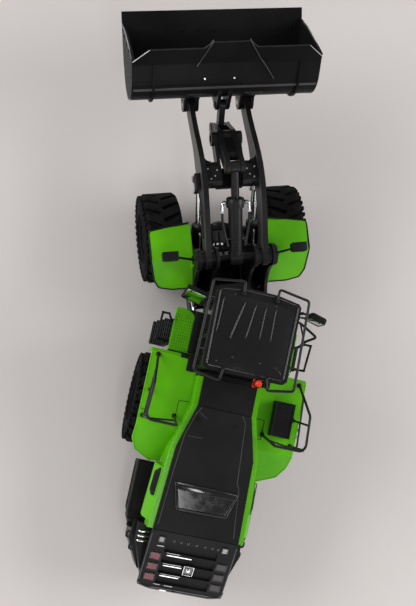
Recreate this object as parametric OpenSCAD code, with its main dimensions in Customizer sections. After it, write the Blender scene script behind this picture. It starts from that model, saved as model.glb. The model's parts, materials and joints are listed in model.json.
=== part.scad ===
// Articulated wheel loader, about 1:35, with a Z-bar bucket linkage.
// Front frame coordinates: the articulation axis stands at x = 0, y = 0, and +Y is forwards.
// The rear frame is drawn straight behind the axis and then swung by the stored steering angle.

/* [Stance] */
// Steering angle of the stored pose, front frame against rear frame
art_rest = 18; // [0:1:20]
// Distance from the articulation axis to the front axle
front_axle_y = 61.5; // [60:0.5:64]
// Distance from the articulation axis to the rear axle
rear_axle_y = 59; // [58:0.5:61]
// Distance between the middles of the two tyres of an axle
track = 80; // [79:0.5:82]
// Place of the articulation axis across the part's own origin
origin_x = 10.9; // [0:0.1:20]
// Place of the articulation axis along the part's own origin
origin_y = -11.9; // [-20:0.1:0]

/* [Wheels] */
// Tyre diameter over the lugs
tyre_d = 58.6; // [57.6:0.2:59]
// Tyre width
tyre_w = 25.4; // [24:0.2:26]
// Diameter of the bead seat of the rim
rim_d = 24.4; // [22:0.2:28]
// Depth of the tread grooves
lug_depth = 2.2; // [1:0.1:2.6]
// Lugs around each shoulder of a tyre
lug_count = 20; // [16:1:24]
// Radius of the stub shafts that carry the wheels
stub_r = 3; // [2.5:0.1:3.4]

/* [Boom and linkage] */
// Boom pivot in front of the articulation axis
pivot_y = 38.7; // [37:0.1:40]
// Boom pivot above the ground
pivot_z = 73; // [71:0.5:74]
// Boom length from its pivot to the bucket hinge
boom_len = 100.5; // [99:0.5:103]
// Boom angle of the stored pose, from level
boom_rest = -3.4; // [-8:0.2:2]
// Middle plane of each boom arm
arm_x = 17.8; // [17.4:0.1:18.4]
// Thickness of the boom arm plates
arm_t = 3.2; // [2.8:0.1:3.6]
// Rocker pivot along the boom
rocker_u = 72.8; // [72:0.1:73.5]
// Rocker pivot above the line of the boom
rocker_w = 11.3; // [11:0.1:12]
// Distance from the boom pivot to both ends of a lift cylinder
lift_r = 50; // [49.5:0.1:50.5]
// Angle at the boom pivot between the two ends of a lift cylinder
lift_angle = 106; // [104:0.5:108]
// Radius of the lift cylinder barrels
lift_barrel_r = 4; // [3.8:0.1:4.1]
// Radius of the lift cylinder rods
lift_rod_r = 2.2; // [1.8:0.1:2.4]
// Radius of the tilt cylinder barrel
tilt_barrel_r = 4.4; // [4:0.1:4.5]
// Radius of the tilt cylinder rod
tilt_rod_r = 2.5; // [2.2:0.1:2.6]
// Radius of the pins of the linkage
pin_r = 2; // [1.8:0.1:2.1]

/* [Bucket] */
// Bucket width
bucket_w = 115; // [108:1:120]
// Wall of the bucket shell
bucket_t = 1.6; // [1.2:0.1:2]
// Bucket angle of the stored pose, from level
bucket_rest = 24; // [20:1:28]
// Radius of the rolled back of the bucket
bucket_r = 20; // [19.5:0.1:20.5]
// Length of the flat floor in front of the rolled back
bucket_floor = 24; // [22:0.5:28]
// Height of the spill guard above the rim
guard_h = 10; // [6:0.5:12]

/* [Rear body] */
// Height of the hood top at the cab
hood_z = 79; // [78:0.5:80]
// Drop of the hood top towards the grille
hood_drop = 9.5; // [8:0.5:11]
// Half width of the hood top at the cab
hood_x0 = 16.7; // [16:0.1:17.5]
// Half width of the hood top at the grille
hood_x1 = 26.4; // [25.5:0.1:27]
// Height of the fender tops
fender_z = 66.5; // [66:0.5:68]
// Outer edge of the rear fenders
fender_x = 49.5; // [48:0.5:51]
// Wall of the fenders and body panels
panel_t = 1.6; // [1.2:0.1:1.8]
// Slope of the rear grille from level
grille_slope = 27; // [24:1:30]
// Number of overlapping slats in the rear grille
grille_slats = 4; // [3:1:6]
// Radius of the handrail tubes
rail_r = 0.8; // [0.6:0.1:1]

/* [Cab] */
// Half width of the cab
cab_x = 22; // [21:0.5:22.5]
// Height of the cab floor above the ground
cab_floor_z = 60; // [58:0.5:61]
// Height of the roof top above the ground
roof_z = 113; // [110:0.5:116]
// Half width of the roof
roof_x = 25; // [24:0.5:26]

/* [Hidden] */
$fn = 48;

lime = [0.36, 0.72, 0.06];
black = [0.07, 0.07, 0.08];
matte = [0.11, 0.11, 0.12];
steel = [0.72, 0.72, 0.74];
rubber = [0.05, 0.05, 0.05];

run = 0.05;          // radial clearance of every turning fit
side = 0.3;          // gap beside parts that turn against each other
axle_z = tyre_d / 2; // the tyres stand on the ground

// Tower plates of the front frame: one inner and one outer plate beside each boom arm
tower_t = 2;
tower_gap = 2 * lift_barrel_r + 1.2;
tower_in = arm_x - tower_gap / 2;
tower_out = arm_x + tower_gap / 2;

// Points of the boom frame: u along the boom from its pivot, w above that line
link_lower = [boom_len - 15.95, -1.7];  // rocker to link
link_upper = [boom_len - 5.65, 11.5];   // link to bucket, the pivot that stays open
rocker_top = [49.5, 26.3];    // tilt rod to rocker
beam_u = 42;                  // rear face of the cross beam
beam_l = 15;
beam_w = 17.5;                // top face of the cross beam
beam_h = 8.5;
lift_dir = 2 - boom_rest;     // direction of the lift cylinder's rod end in the boom frame
lift_pin = [lift_r * cos(lift_dir), lift_r * sin(lift_dir)];
lift_base_dir = boom_rest + lift_dir - lift_angle;
lift_base = [pivot_y + lift_r * cos(lift_base_dir), pivot_z + lift_r * sin(lift_base_dir)];
lift_len = 2 * lift_r * sin(lift_angle / 2);
lift_barrel_l = 48;
tilt_len = norm(rocker_top);
tilt_dir = atan2(rocker_top[1], rocker_top[0]);
tilt_barrel_l = 37;
steer_r = 30;                 // both pins of a steering cylinder lie this far from the axis
steer_z = 33;
steer_front_dir = 40;
steer_rear_dir = -63;
steer_barrel_l = 30;
steer_rod_l = 28.2;
steer_lug_r = 2.8;
steer_barrel_r = 2.6;
steer_rod_r = 1.4;
steer_pin_r = 1.5;
hinge_r = 3;                  // articulation pins
hinge_top = 46;
hinge_low = 19;
hinge_t = 3;

// ---------- helpers ----------
function along(p, a, d) = [p[0] + d * cos(a), p[1] + d * sin(a)];
function unit(v) = v / norm(v);
function left_of(v) = [-v[1], v[0]];
// point i of an open polyline moved sideways by d, mitred at the corners
function shifted(p, d, i) =
  let (a = i > 0 ? unit(p[i] - p[i - 1]) : unit(p[1] - p[0]),
       b = i < len(p) - 1 ? unit(p[i + 1] - p[i]) : a,
       n = unit(left_of(a) + left_of(b)))
  p[i] + n * d / (n * left_of(a));
function strip(p, t) = concat([for (i = [0 : len(p) - 1]) p[i]],
                              [for (i = [len(p) - 1 : -1 : 0]) shifted(p, t, i)]);
function bez(p, t) = pow(1 - t, 3) * p[0] + 3 * t * pow(1 - t, 2) * p[1]
                   + 3 * t * t * (1 - t) * p[2] + pow(t, 3) * p[3];
function curve(p, n) = [for (i = [0 : n]) bez(p, i / n)];
function arc(c, r, a, b, n) = [for (i = [0 : n]) along(c, a + (b - a) * i / n, r)];

// round-ended bar between two circles, with tangent sides
module bar2(p, r, q, s) {
  d = norm(q - p);
  a = atan2(q[1] - p[1], q[0] - p[0]);
  b = acos((r - s) / d);
  polygon(concat(arc(p, r, a + b, a + 360 - b, 14), arc(q, s, a - b, a + b, 12)));
}
// a (y, z) outline as a plate across x, from x0 to x1
module plate(x0, x1) translate([x0, 0, 0]) rotate([90, 0, 90]) linear_extrude(x1 - x0) children();
module pin_x(x0, x1, p, r) translate([x0, p[0], p[1]]) rotate([0, 90, 0]) cylinder(r = r, h = x1 - x0);
module both() { children(); mirror([1, 0, 0]) children(); }
// cylinder between two points in space, with a fuller ball at its far end where ball > 0
module rod3(a, b, r, ball = 0) {
  v = b - a;
  translate(a) rotate([0, acos(v[2] / norm(v)), atan2(v[1], v[0])]) {
    cylinder(r = r, h = norm(v), $fn = 24);
    if (ball > 0) translate([0, 0, norm(v)]) sphere(r = ball, $fn = 24);
  }
}
// tube through a list of points, with ball corners a little fuller than the tube
module tube(p, r) for (i = [0 : len(p) - 2]) rod3(p[i], p[i + 1], r, i < len(p) - 2 ? 1.2 * r : 0);
module front() translate([origin_x, origin_y, 0]) children();
module rear() front() rotate([0, 0, -art_rest]) children();
module at_boom() front() translate([0, pivot_y, pivot_z]) rotate([boom_rest, 0, 0]) children();
module at_bucket() at_boom() translate([0, boom_len, 0]) rotate([bucket_rest - boom_rest, 0, 0]) children();

// ---------- wheels ----------
tyre_r = tyre_d / 2;
rim_r = rim_d / 2;
module tyre() color(rubber) rotate([0, 90, 0]) difference() {
  h = tyre_w / 2;
  rotate_extrude($fn = 72) polygon([
    [rim_r, -h + 3.4], [rim_r + 2, -h + 1.2], [rim_r + 6, -h], [tyre_r - 5, -h + 0.3],
    [tyre_r - 1.6, -h + 1.4], [tyre_r, -h + 3.4], [tyre_r, h - 3.4], [tyre_r - 1.6, h - 1.4],
    [tyre_r - 5, h - 0.3], [rim_r + 6, h], [rim_r + 2, h - 1.2], [rim_r, h - 3.4]]);
  for (s = [-1, 1], i = [0 : lug_count - 1])
    rotate([0, 0, (i + (s > 0 ? 0.5 : 0)) * 360 / lug_count])
      translate([tyre_r - lug_depth, 0, s * (h / 2 + 1.4)]) rotate([s * 24, 0, 0])
        translate([0, -1.3, -h / 2]) cube([lug_depth + 2, 2.6, h + 2]);
}
module rim() color(black) rotate([0, 90, 0]) {
  h = tyre_w / 2;
  difference() {
    rotate_extrude($fn = 72) polygon([
      [stub_r + run, -6], [6.5, -6], [6.5, -1.5], [rim_r - 1.6, -1.5], [rim_r - 1.6, -h + 2.6],
      [rim_r, -h + 3.4], [rim_r, h - 3.4], [rim_r - 1.6, h - 2.6], [rim_r - 1.6, 2],
      [7.2, 1], [6.2, 5.5], [3, 6.5], [0, 6.5], [0, 5], [stub_r + run, 5]]);
    for (i = [0 : 5]) rotate([0, 0, i * 60]) translate([8.7, 0, -3]) cylinder(r = 0.9, h = 8);
  }
}
module wheel_at(y, s) translate([s * track / 2, y, axle_z]) mirror([s < 0 ? 1 : 0, 0, 0]) children();

// ---------- front frame ----------
P = [pivot_y, pivot_z];
axle_pad_z = axle_z + 5.4;
module tower_outline() {
  polygon(concat([[13, 16], [46, 16]], arc([front_axle_y, axle_z], 12, 200, 155, 6),
    [[front_axle_y - 8, axle_pad_z], [front_axle_y + 3, axle_pad_z], [front_axle_y + 3, axle_pad_z + 7]],
    curve([[front_axle_y, axle_pad_z + 10], [front_axle_y - 10, axle_pad_z + 13], [P[0] + 10, P[1] - 16],
           [P[0] + 6.4, P[1] - 3]], 10),
    curve([[P[0] - 6.4, P[1] - 3], [P[0] - 8, P[1] - 18], [26, 50], [13, 44]], 10)));
  translate(P) circle(7);
}
module front_chassis() color(black) front() {
  difference() {
    union() {
      both() {
        plate(tower_in - tower_t, tower_in) tower_outline();
        plate(tower_out, tower_out + tower_t) tower_outline();
      }
      // floor, front bulkhead and rear bulkhead tie the four plates together
      translate([-tower_out, 13, 16]) cube([2 * tower_out, 33, 2]);
      translate([-tower_out, 44, 18]) cube([2 * tower_out, 2, 4]);
      translate([-tower_in, front_axle_y - 13.5, axle_pad_z + 1]) cube([2 * tower_in, 2.5, 9]);
      translate([-tower_in, front_axle_y + 0.5, axle_pad_z + 3.4]) cube([2 * tower_in, 2.5, 5]);
      translate([-tower_in, front_axle_y - 12, axle_pad_z + 4]) cube([2 * tower_in, 13, 2]);
      translate([-tower_in, 13, 18]) cube([2 * tower_in, 3, hinge_top + hinge_t - 18]);
      translate([-tower_in, 16, hinge_top + hinge_t - 2]) cube([2 * tower_in, 9, 2]);
      // articulation eyes
      for (z = [hinge_low, hinge_top]) translate([0, 0, z]) linear_extrude(hinge_t)
        bar2([0, 0], 8, [0, 14], 11);
    }
    // the steering cylinders swing through the rear edge of the outer plates
    both() translate([tower_out - 0.5, 0, steer_z - 4.6]) cube([tower_t + 1, 24, 9.2]);
    for (z = [hinge_low, hinge_top]) translate([0, 0, z - 1]) cylinder(r = hinge_r, h = hinge_t + 2);
    both() {
      pin_x(tower_in - 3, tower_out + 3, P, 3);
      pin_x(tower_in - 3, tower_out + 3, lift_base, pin_r);
    }
  }
  // steering rod lugs with the pins between them
  both() {
    for (z = [steer_z - 3.6, steer_z + 2]) translate([0, 0, z]) linear_extrude(1.6)
      bar2(along([0, 0], steer_front_dir, steer_r), steer_lug_r, [tower_in - 1.6, 16], 3.2);
    translate(concat(along([0, 0], steer_front_dir, steer_r), [steer_z - 3])) cylinder(r = steer_pin_r, h = 6);
  }
}
module front_pins() color(steel) front() {
  translate([0, 0, hinge_low - hinge_t - side - 1]) cylinder(r = hinge_r, h = 2 * hinge_t + side + 2);
  translate([0, 0, hinge_top - 1]) cylinder(r = hinge_r, h = 2 * hinge_t + side + 2);
  both() {
    pin_x(tower_in - tower_t, tower_out + tower_t + 1.4, P, 3);
    pin_x(tower_in - tower_t, tower_out + tower_t + 0.8, lift_base, pin_r);
  }
  pin_x(-tower_in + tower_t, tower_in - tower_t, P, pin_r);
}
module axle_body(y) {
  pin_x(-track / 2 + 12.4, track / 2 - 12.4, [y, axle_z], 4.1);
  translate([0, y, axle_z]) rotate([90, 0, 0]) translate([0, 0, -6]) cylinder(r = 7, h = 12);
  translate([0, y, axle_z]) rotate([90, 0, 0]) sphere(r = 8.4);
  both() pin_x(track / 2 - 14.6, track / 2 - 13.2, [y, axle_z], 6.4);
  pin_x(-track / 2 - 4.8, track / 2 + 4.8, [y, axle_z], stub_r);
}
module front_axle() color(black) front() {
  axle_body(front_axle_y);
  // mounting pads under the frame plates
  both() for (x = [tower_in - tower_t - 0.4, tower_out])
    translate([x, front_axle_y - 5.5, axle_z + 1]) cube([tower_t + 0.4, 8.5, axle_pad_z - axle_z - 1]);
}
fender_front_in = tower_out + tower_t + 0.4;
front_fender_line = [[front_axle_y - 41, 44], [front_axle_y - 19.5, 62], [front_axle_y + 0.5, 62.6],
                     [front_axle_y + 2, 61.2]];
module front_fender(s) color(lime) front() mirror([s < 0 ? 1 : 0, 0, 0]) {
  y1 = front_axle_y + 3;
  intersection() {
    plate(fender_front_in, 51) polygon(strip(front_fender_line, -panel_t));
    linear_extrude(80) polygon([[fender_front_in, y1], [51, y1 - 4], [51.5, front_axle_y - 19],
      [49.6, front_axle_y - 31], [46.6, front_axle_y - 35.4], [38, front_axle_y - 37],
      [fender_front_in, front_axle_y - 37]]);
  }
  // bracket down the side of the tower
  translate([fender_front_in - 0.4, 36, 48]) cube([1.6, 9, 12.5]);
}
module work_lamp(s) color(black) front() mirror([s < 0 ? 1 : 0, 0, 0]) {
  translate([tower_out + tower_t, 37.5, 63.2]) cube([1.4, 5, 4]);
  tube([[tower_out + tower_t + 0.8, 40, 65], [28.4, 40, 69.4], [36.8, 41.3, 73]], 0.7);
  translate([36.2, 39.6, 71]) cube([9.2, 3.8, 4.6]);
}

// ---------- boom ----------
arm_top = curve([[0, 6.4], [26, 17], [40, 25], [60, 18.6]], 10);
arm_top2 = curve([[60, 18.6], [boom_len - 24.5, 13.5], [boom_len - 16.5, 7], [boom_len, 5.8]], 8);
arm_low = curve([[boom_len, -5.8], [boom_len - 16.5, -4.6], [boom_len - 26.5, 4.4], [58, 1.2]], 8);
arm_low2 = curve([[44.6, 5.6], [36, 6.8], [18, -0.5], [0, -6.4]], 8);
module boom_arm(s) color(black) at_boom() mirror([s < 0 ? 1 : 0, 0, 0]) difference() {
  union() {
    plate(arm_x - arm_t / 2, arm_x + arm_t / 2) {
      polygon(concat(arm_top, arm_top2, arm_low, arm_low2));
      circle(6.5);
      translate(lift_pin) circle(5.6);
      translate([boom_len, 0]) circle(5.9);
    }
    pin_x(tower_in + side, tower_out - side, [0, 0], 5.4);
    pin_x(arm_x - 2.4, arm_x + 2.4, [boom_len, 0], 4.6);
  }
  pin_x(0, 40, [0, 0], 3 + run);
  pin_x(0, 40, lift_pin, pin_r);
  pin_x(0, 40, [boom_len, 0], pin_r);
}
module boom_cross_tube() color(black) at_boom() {
  in = arm_x - arm_t / 2;
  difference() {
    union() {
      both() plate(6.4, in) polygon([[beam_u, beam_w - 2], [beam_u + 2, beam_w], [beam_u + beam_l - 3, beam_w],
        [beam_u + beam_l, beam_w - 3], [beam_u + beam_l, beam_w - beam_h], [beam_u, beam_w - beam_h]]);
      // dropped middle that the rocker swings down over
      plate(-8.4, 8.4) polygon([[beam_u + 1, 2.6], [beam_u + beam_l - 2, 2.6], [beam_u + beam_l - 2, 7.2], [beam_u + 1, 7.2]]);
      both() plate(6.4, 8.4) polygon([[beam_u + 1, 2.6], [beam_u + beam_l - 2, 2.6], [beam_u + beam_l - 2, beam_w - 4],
        [beam_u + 1, beam_w - 4]]);
      // filleted feet of the beam on the arms
      both() translate([0, 0, beam_w - 5]) linear_extrude(4) difference() {
        polygon([[in, beam_u - 4], [in, beam_u + beam_l + 4], [in - 4, beam_u + beam_l],
                 [in - 4, beam_u]]);
        translate([in - 4, beam_u + beam_l + 4]) circle(4);
        translate([in - 4, beam_u - 4]) circle(4);
      }
      // rocker brackets with their ring bosses
      both() {
        plate(6.4, 8.4) bar2([beam_u + 6, beam_w - beam_h / 2], 4, [rocker_u, rocker_w], 4.4);
        pin_x(6.1, 9.6, [rocker_u, rocker_w], 4.4);
      }
    }
    pin_x(-12, 12, [rocker_u, rocker_w], 2.6);
  }
}
module boom_pins() color(steel) at_boom() {
  pin_x(-8.6, 8.6, [rocker_u, rocker_w], 2.6);
  both() {
    pin_x(arm_x - 4.9, arm_x + 4.9, lift_pin, pin_r);
    pin_x(arm_x - 5, arm_x + 5, [boom_len, 0], pin_r);
  }
}
module arm_sensor() color(matte) at_boom()
  translate([-arm_x - arm_t / 2 - 2.6, beam_u - 1, 9]) cube([2.6, 9.5, 6]);

// ---------- rocker, link and cylinders ----------
rocker_pt = [rocker_u, rocker_w];
module rocker() color(black) at_boom() difference() {
  union() {
    both() plate(3, 5.8) {
      bar2(rocker_pt, 5.6, rocker_top, 4);
      bar2(rocker_pt, 5.6, link_lower, 3.4);
    }
    pin_x(-5.8, 5.8, rocker_pt, 5);
    plate(-3, 3) bar2(rocker_pt, 3.6, along(rocker_pt, atan2(rocker_top[1] - rocker_w, rocker_top[0] - rocker_u), 17), 3);
    pin_x(-6.1, 6.1, link_lower, 1.5);
    both() pin_x(5.8, 6.1, rocker_top, 2.2);
  }
  pin_x(-7, 7, rocker_pt, 2.6 + run);
}
module link() color(black) at_boom() {
  difference() {
    plate(-1.8, 1.8) bar2(link_lower, 3, link_upper, 3.2);
    pin_x(-3, 3, link_upper, 1.4);
    pin_x(-3, 3, link_lower, 1.5 + run);
  }
}
module tilt_barrel() color(black) at_boom() rotate([tilt_dir, 0, 0]) {
  difference() {
    union() {
      pin_x(-3.9, 3.9, [0, 0], 4.7);
      rotate([-90, 0, 0]) cylinder(r = tilt_barrel_r, h = tilt_barrel_l);
      translate([0, tilt_barrel_l - 5, 0]) rotate([-90, 0, 0]) cylinder(r = tilt_barrel_r + 1, h = 5);
      // hose ports at the head
      both() translate([tilt_barrel_r + 0.4, tilt_barrel_l - 2.5, 0]) rotate([0, 90, 0]) cylinder(r = 1, h = 2.4);
    }
    pin_x(-8, 8, [0, 0], pin_r + run);
    translate([0, 8, 0]) rotate([-90, 0, 0]) cylinder(r = tilt_rod_r + run, h = tilt_barrel_l);
  }
}
module tilt_rod() color(steel) at_boom() rotate([tilt_dir, 0, 0]) difference() {
  union() {
    translate([0, tilt_len - 38, 0]) rotate([-90, 0, 0]) cylinder(r = tilt_rod_r, h = 36);
    pin_x(-2.75, 2.75, [tilt_len, 0], 3.6);
  }
  pin_x(-4, 4, [tilt_len, 0], 1.6);
}
lift_cyl_dir = atan2(pivot_z + lift_r * sin(boom_rest + lift_dir) - lift_base[1],
                     pivot_y + lift_r * cos(boom_rest + lift_dir) - lift_base[0]);
module at_lift() front() translate([0, lift_base[0], lift_base[1]]) rotate([lift_cyl_dir, 0, 0]) children();
module lift_barrels() color(black) at_lift() both() translate([arm_x, 0, 0]) difference() {
  union() {
    pin_x(0.5 - lift_barrel_r, lift_barrel_r - 0.5, [0, 0], 4.7);
    rotate([-90, 0, 0]) cylinder(r = lift_barrel_r, h = lift_barrel_l);
  }
  pin_x(-8, 8, [0, 0], pin_r + run);
  translate([0, 6, 0]) rotate([-90, 0, 0]) cylinder(r = lift_rod_r + run, h = lift_barrel_l);
}
module lift_rods() color(steel) at_lift() both() translate([arm_x, 0, 0]) difference() {
  union() {
    translate([0, lift_len - 52, 0]) rotate([-90, 0, 0]) cylinder(r = lift_rod_r, h = 46);
    // fork that straddles the arm
    difference() {
      plate(-3.8, 3.8) bar2([lift_len - 7.5, 0], 2.4, [lift_len, 0], 3.4);
      plate(-arm_t / 2 - 0.2, arm_t / 2 + 0.2) translate([lift_len, 0]) circle(6.1);
    }
  }
  pin_x(-8, 8, [lift_len, 0], pin_r + run);
}

// ---------- bucket ----------
// bucket frame: the hinge is the origin, y towards the lip, z up when the floor is level
bk_c = [25, bucket_r - 8.5];
bk_end = 112;
bk_top = along(bk_c, bk_end, bucket_r);
bk_rim = along(bk_top, bk_end - 90, 11.5);
bk_lip = [bk_c[0] + bucket_floor, -8.5];
bk_line = concat([bk_lip], arc(bk_c, bucket_r, 270, bk_end, 18), [bk_rim]);
guard_dir = 43;
guard_tip = along(bk_rim, guard_dir, guard_h);
bk_fold = along(bk_rim, guard_dir - 90, 0.4);
module bucket_side() polygon(concat([bk_lip], arc(bk_c, bucket_r, 270, bk_end, 18),
  [bk_rim, along(bk_rim, guard_dir, 2.5), [bk_rim[0] + 6, bk_rim[1] - 6], [bk_lip[0] - 4, 6], [bk_lip[0], -5.5]]));
module hinge_ear(x, t) plate(x - t / 2, x + t / 2) difference() {
  union() {
    bar2([0, 0], 4.8, [9, 1], 7);
    polygon([[2, 4], [12, 24], [20, 20], [14, -4]]);
  }
  translate(bk_c) circle(bucket_r - 0.4);
}
module bucket() color(black) at_bucket() difference() {
  union() {
    plate(-bucket_w / 2 + 0.4, bucket_w / 2 - 0.4) polygon(strip(bk_line, -bucket_t));
    both() plate(bucket_w / 2 - bucket_t, bucket_w / 2) bucket_side();
    // spill guard with its chamfered ends
    translate([0, bk_fold[0], bk_fold[1]]) rotate([guard_dir, 0, 0]) linear_extrude(bucket_t) polygon([
      [0.4 - bucket_w / 2, -1], [0.4 - bucket_w / 2, 1], [-48, guard_h], [-16, guard_h], [-11.4, guard_h + 4.6],
      [11.4, guard_h + 4.6], [16, guard_h], [48, guard_h], [bucket_w / 2 - 0.4, 1], [bucket_w / 2 - 0.4, -1]]);
    // hinge ears for the arms and for the link
    both() {
      hinge_ear(arm_x - 3.8, 2);
      hinge_ear(arm_x + 3.8, 2);
    }
    u = link_upper - [boom_len, 0];
    ur = [u[0] * cos(bucket_rest - boom_rest) + u[1] * sin(bucket_rest - boom_rest),
          -u[0] * sin(bucket_rest - boom_rest) + u[1] * cos(bucket_rest - boom_rest)];
    both() plate(2.2, 4.3) difference() {
      union() { bar2(ur, 3.2, [10, 20], 5); bar2(ur, 3.2, [8, 6], 4); }
      translate(bk_c) circle(bucket_r - 0.4);
    }
    both() pin_x(4.3, 5, ur, 2);
    // stiffening ribs over the back
    both() for (x = [44.6]) plate(x - 0.6, x + 0.6) difference() {
      polygon(concat(arc(bk_c, bucket_r + 1.6, 195, bk_end, 10), [along(bk_rim, guard_dir + 90, 0.8)]));
      translate(bk_c) circle(bucket_r - 0.4);
    }
    // wear plate along the heel
    plate(-bucket_w / 2, bucket_w / 2) difference() {
      translate(bk_c) circle(bucket_r + 1);
      translate(bk_c) circle(bucket_r - 0.4);
      translate([bk_c[0] - 40, bk_c[1] - 6]) square(80);
      translate([bk_c[0], bk_c[1] - 40]) square(80);
    }
  }
  pin_x(arm_x - 8, arm_x + 8, [0, 0], pin_r + run);
  pin_x(-arm_x - 8, -arm_x + 8, [0, 0], pin_r + run);
}
module cutting_edge() color(steel) at_bucket()
  plate(-bucket_w / 2, bucket_w / 2) polygon([[bk_lip[0], -8.5], [bk_lip[0] + 7.5, -7.4], [bk_lip[0] + 7.5, -6.9],
    [bk_lip[0] + 5, -6.9 ], [bk_lip[0], -8.5 + bucket_t]]);

// ---------- rear frame ----------
rail_x = 13;
module rear_chassis() color(black) rear() {
  difference() {
    union() {
      both() plate(rail_x - 1.5, rail_x + 1.5) polygon([[-30, 16], [-38, 16], [-46, 39], [-150, 39], [-150, 49.5], [-30, 49.5]]);
      // yoke: post and cheeks between the two hinge plates
      translate([-9, -16, hinge_low - side - 1]) cube([18, 3, hinge_top + hinge_t + side - hinge_low + 2]);
      both() translate([7.5, -31, hinge_low - side - 1]) cube([1.5, 16, hinge_top + hinge_t + side - hinge_low + 2]);
      translate([-rail_x - 1.5, -33, 16]) cube([2 * rail_x + 3, 3, 33.5]);
      translate([-rail_x, -95, 41]) cube([2 * rail_x, 4, 6]);
      translate([-rail_x, -148, 39]) cube([2 * rail_x, 4, 9]);
      for (z = [hinge_low - hinge_t - side, hinge_top + hinge_t + side]) translate([0, 0, z]) linear_extrude(hinge_t) {
        bar2([0, 0], 8, [0, -15], 11);
        polygon([[-10, -18], [-14.5, -31], [-14.5, -38], [14.5, -38], [14.5, -31], [10, -18]]);
      }
      // hangers of the rear axle
      for (y = [-rear_axle_y - 13, -rear_axle_y + 10]) translate([-rail_x - 1.5, y, 22]) cube([2 * rail_x + 3, 3, 20]);
      both() for (z = [steer_z - 3.6, steer_z + 2]) translate([0, 0, z]) linear_extrude(1.6)
        bar2(along([0, 0], steer_rear_dir, steer_r), steer_lug_r, [rail_x - 2, -30], 2.8);
    }
    for (z = [hinge_low - hinge_t - side, hinge_top + hinge_t + side]) translate([0, 0, z - 1])
      cylinder(r = hinge_r + run, h = hinge_t + 2);
    translate([0, -rear_axle_y, axle_z]) rotate([90, 0, 0]) translate([0, 0, -20]) cylinder(r = 4 + run, h = 40);
  }
  both() translate(concat(along([0, 0], steer_rear_dir, steer_r), [steer_z - 3])) cylinder(r = steer_pin_r, h = 6);
}
module driveline() color(matte) rear() {
  translate([-rail_x + 1.5, -38, 22]) cube([2 * rail_x - 3, 5, 18]);
  translate([-6, -37, 40]) cube([12, 4, 4]);
  translate([0, -38, axle_z]) rotate([90, 0, 0]) cylinder(r = 2, h = rear_axle_y - 38 - 13.5);
  translate([0, -30, axle_z]) rotate([-90, 0, 0]) cylinder(r = 3.4, h = 13);
}
module rear_axle() color(black) rear() {
  axle_body(-rear_axle_y);
  translate([0, -rear_axle_y, axle_z]) rotate([90, 0, 0]) translate([0, 0, -13.2]) cylinder(r = 4, h = 26.4);
}
module steer_place(s) {
  a = steer_rear_dir;
  r = along([0, 0], a, steer_r);
  rs = [s * r[0], r[1]];
  p = [rs[0] * cos(art_rest) + rs[1] * sin(art_rest), -rs[0] * sin(art_rest) + rs[1] * cos(art_rest)];
  f = along([0, 0], steer_front_dir, steer_r);
  q = [s * f[0], f[1]];
  front() translate([p[0], p[1], steer_z]) rotate([0, 0, atan2(q[1] - p[1], q[0] - p[0])]) children();
}
function steer_len(s) = 2 * steer_r * sin((steer_front_dir - steer_rear_dir + s * art_rest) / 2);
module steer_barrel(s) color(black) steer_place(s) difference() {
  union() {
    translate([0, 0, -1.8]) cylinder(r = 3.1, h = 3.6);
    rotate([0, 90, 0]) cylinder(r = steer_barrel_r, h = steer_barrel_l);
  }
  translate([0, 0, -5]) cylinder(r = steer_pin_r + run, h = 10);
  translate([5, 0, 0]) rotate([0, 90, 0]) cylinder(r = steer_rod_r + run, h = steer_barrel_l);
  for (z = [1.8, -6.8]) translate([-5, -5, z]) cube([9.2, 10, 5]);
}
module steer_rod(s) color(steel) steer_place(s) translate([steer_len(s), 0, 0]) difference() {
  union() {
    translate([0, 0, -1.8]) cylinder(r = 2.8, h = 3.6);
    translate([-steer_rod_l, 0, 0]) rotate([0, 90, 0]) cylinder(r = steer_rod_r, h = steer_rod_l - 1);
  }
  translate([0, 0, -5]) cylinder(r = steer_pin_r + run, h = 10);
}
hood_y0 = -40;
hood_y1 = -134;
hood_end_z = hood_z - hood_drop;
module hood_plan(w) polygon([[-hood_x0 - w, hood_y0], [-hood_x0 - w, -57.5], [-24 - w, -84], [-hood_x1 - w, hood_y1],
  [hood_x1 + w, hood_y1], [24 + w, -84], [hood_x0 + w, -57.5], [hood_x0 + w, hood_y0]]);
module hood_profile(lo, hi) plate(-40, 40) polygon([[hood_y0, lo], [hood_y0, hood_z + hi], [-57.5, hood_z + hi],
  [hood_y1, hood_end_z + hi], [hood_y1, lo]]);
module hood_shell() color(lime) rear() difference() {
  intersection() {
    hood_profile(49.5, -2.4);
    linear_extrude(100) hood_plan(3.4);
  }
  intersection() {
    hood_profile(40, -2.4 - panel_t);
    linear_extrude(100) hood_plan(3.4 - panel_t);
    translate([-40, hood_y1 + 1.6, 0]) cube([80, hood_y0 - hood_y1 - 3.2, 100]);
  }
  // long vents in both sides
  both() translate([20, -119, 62.5]) rotate([5, 0, 0]) cube([20, 21, 3]);
}
module hood_top() color(matte) rear() difference() {
  intersection() {
    difference() { hood_profile(0, 0); hood_profile(0, -2.4); translate([-50, hood_y1 - 9, 0]) cube([100, 9, 100]); }
    linear_extrude(100) hood_plan(0);
  }
  // seam behind the front panel and the seat of the window
  translate([-30, -58, hood_z - 0.6]) cube([60, 0.8, 2]);
  hood_window_solid(0);
}
module hood_window_solid(d) intersection() {
  difference() { hood_profile(0, 0.8 + d); hood_profile(0, -1 - d); }
  linear_extrude(100) polygon([[-18.4, -104.3], [18.8, -105], [14.6, -118.6], [-15, -118.9]]);
}
module hood_window() color(black) rear() hood_window_solid(0);
grille_w = 26.4;
grille_l = 40;
grille_low = [hood_y1 - 0.4 - grille_l * cos(grille_slope), hood_end_z - grille_l * sin(grille_slope)];
function grille_pt(a, b) = grille_low + [a * cos(grille_slope) - b * sin(grille_slope),
                                        a * sin(grille_slope) + b * cos(grille_slope)];
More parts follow.
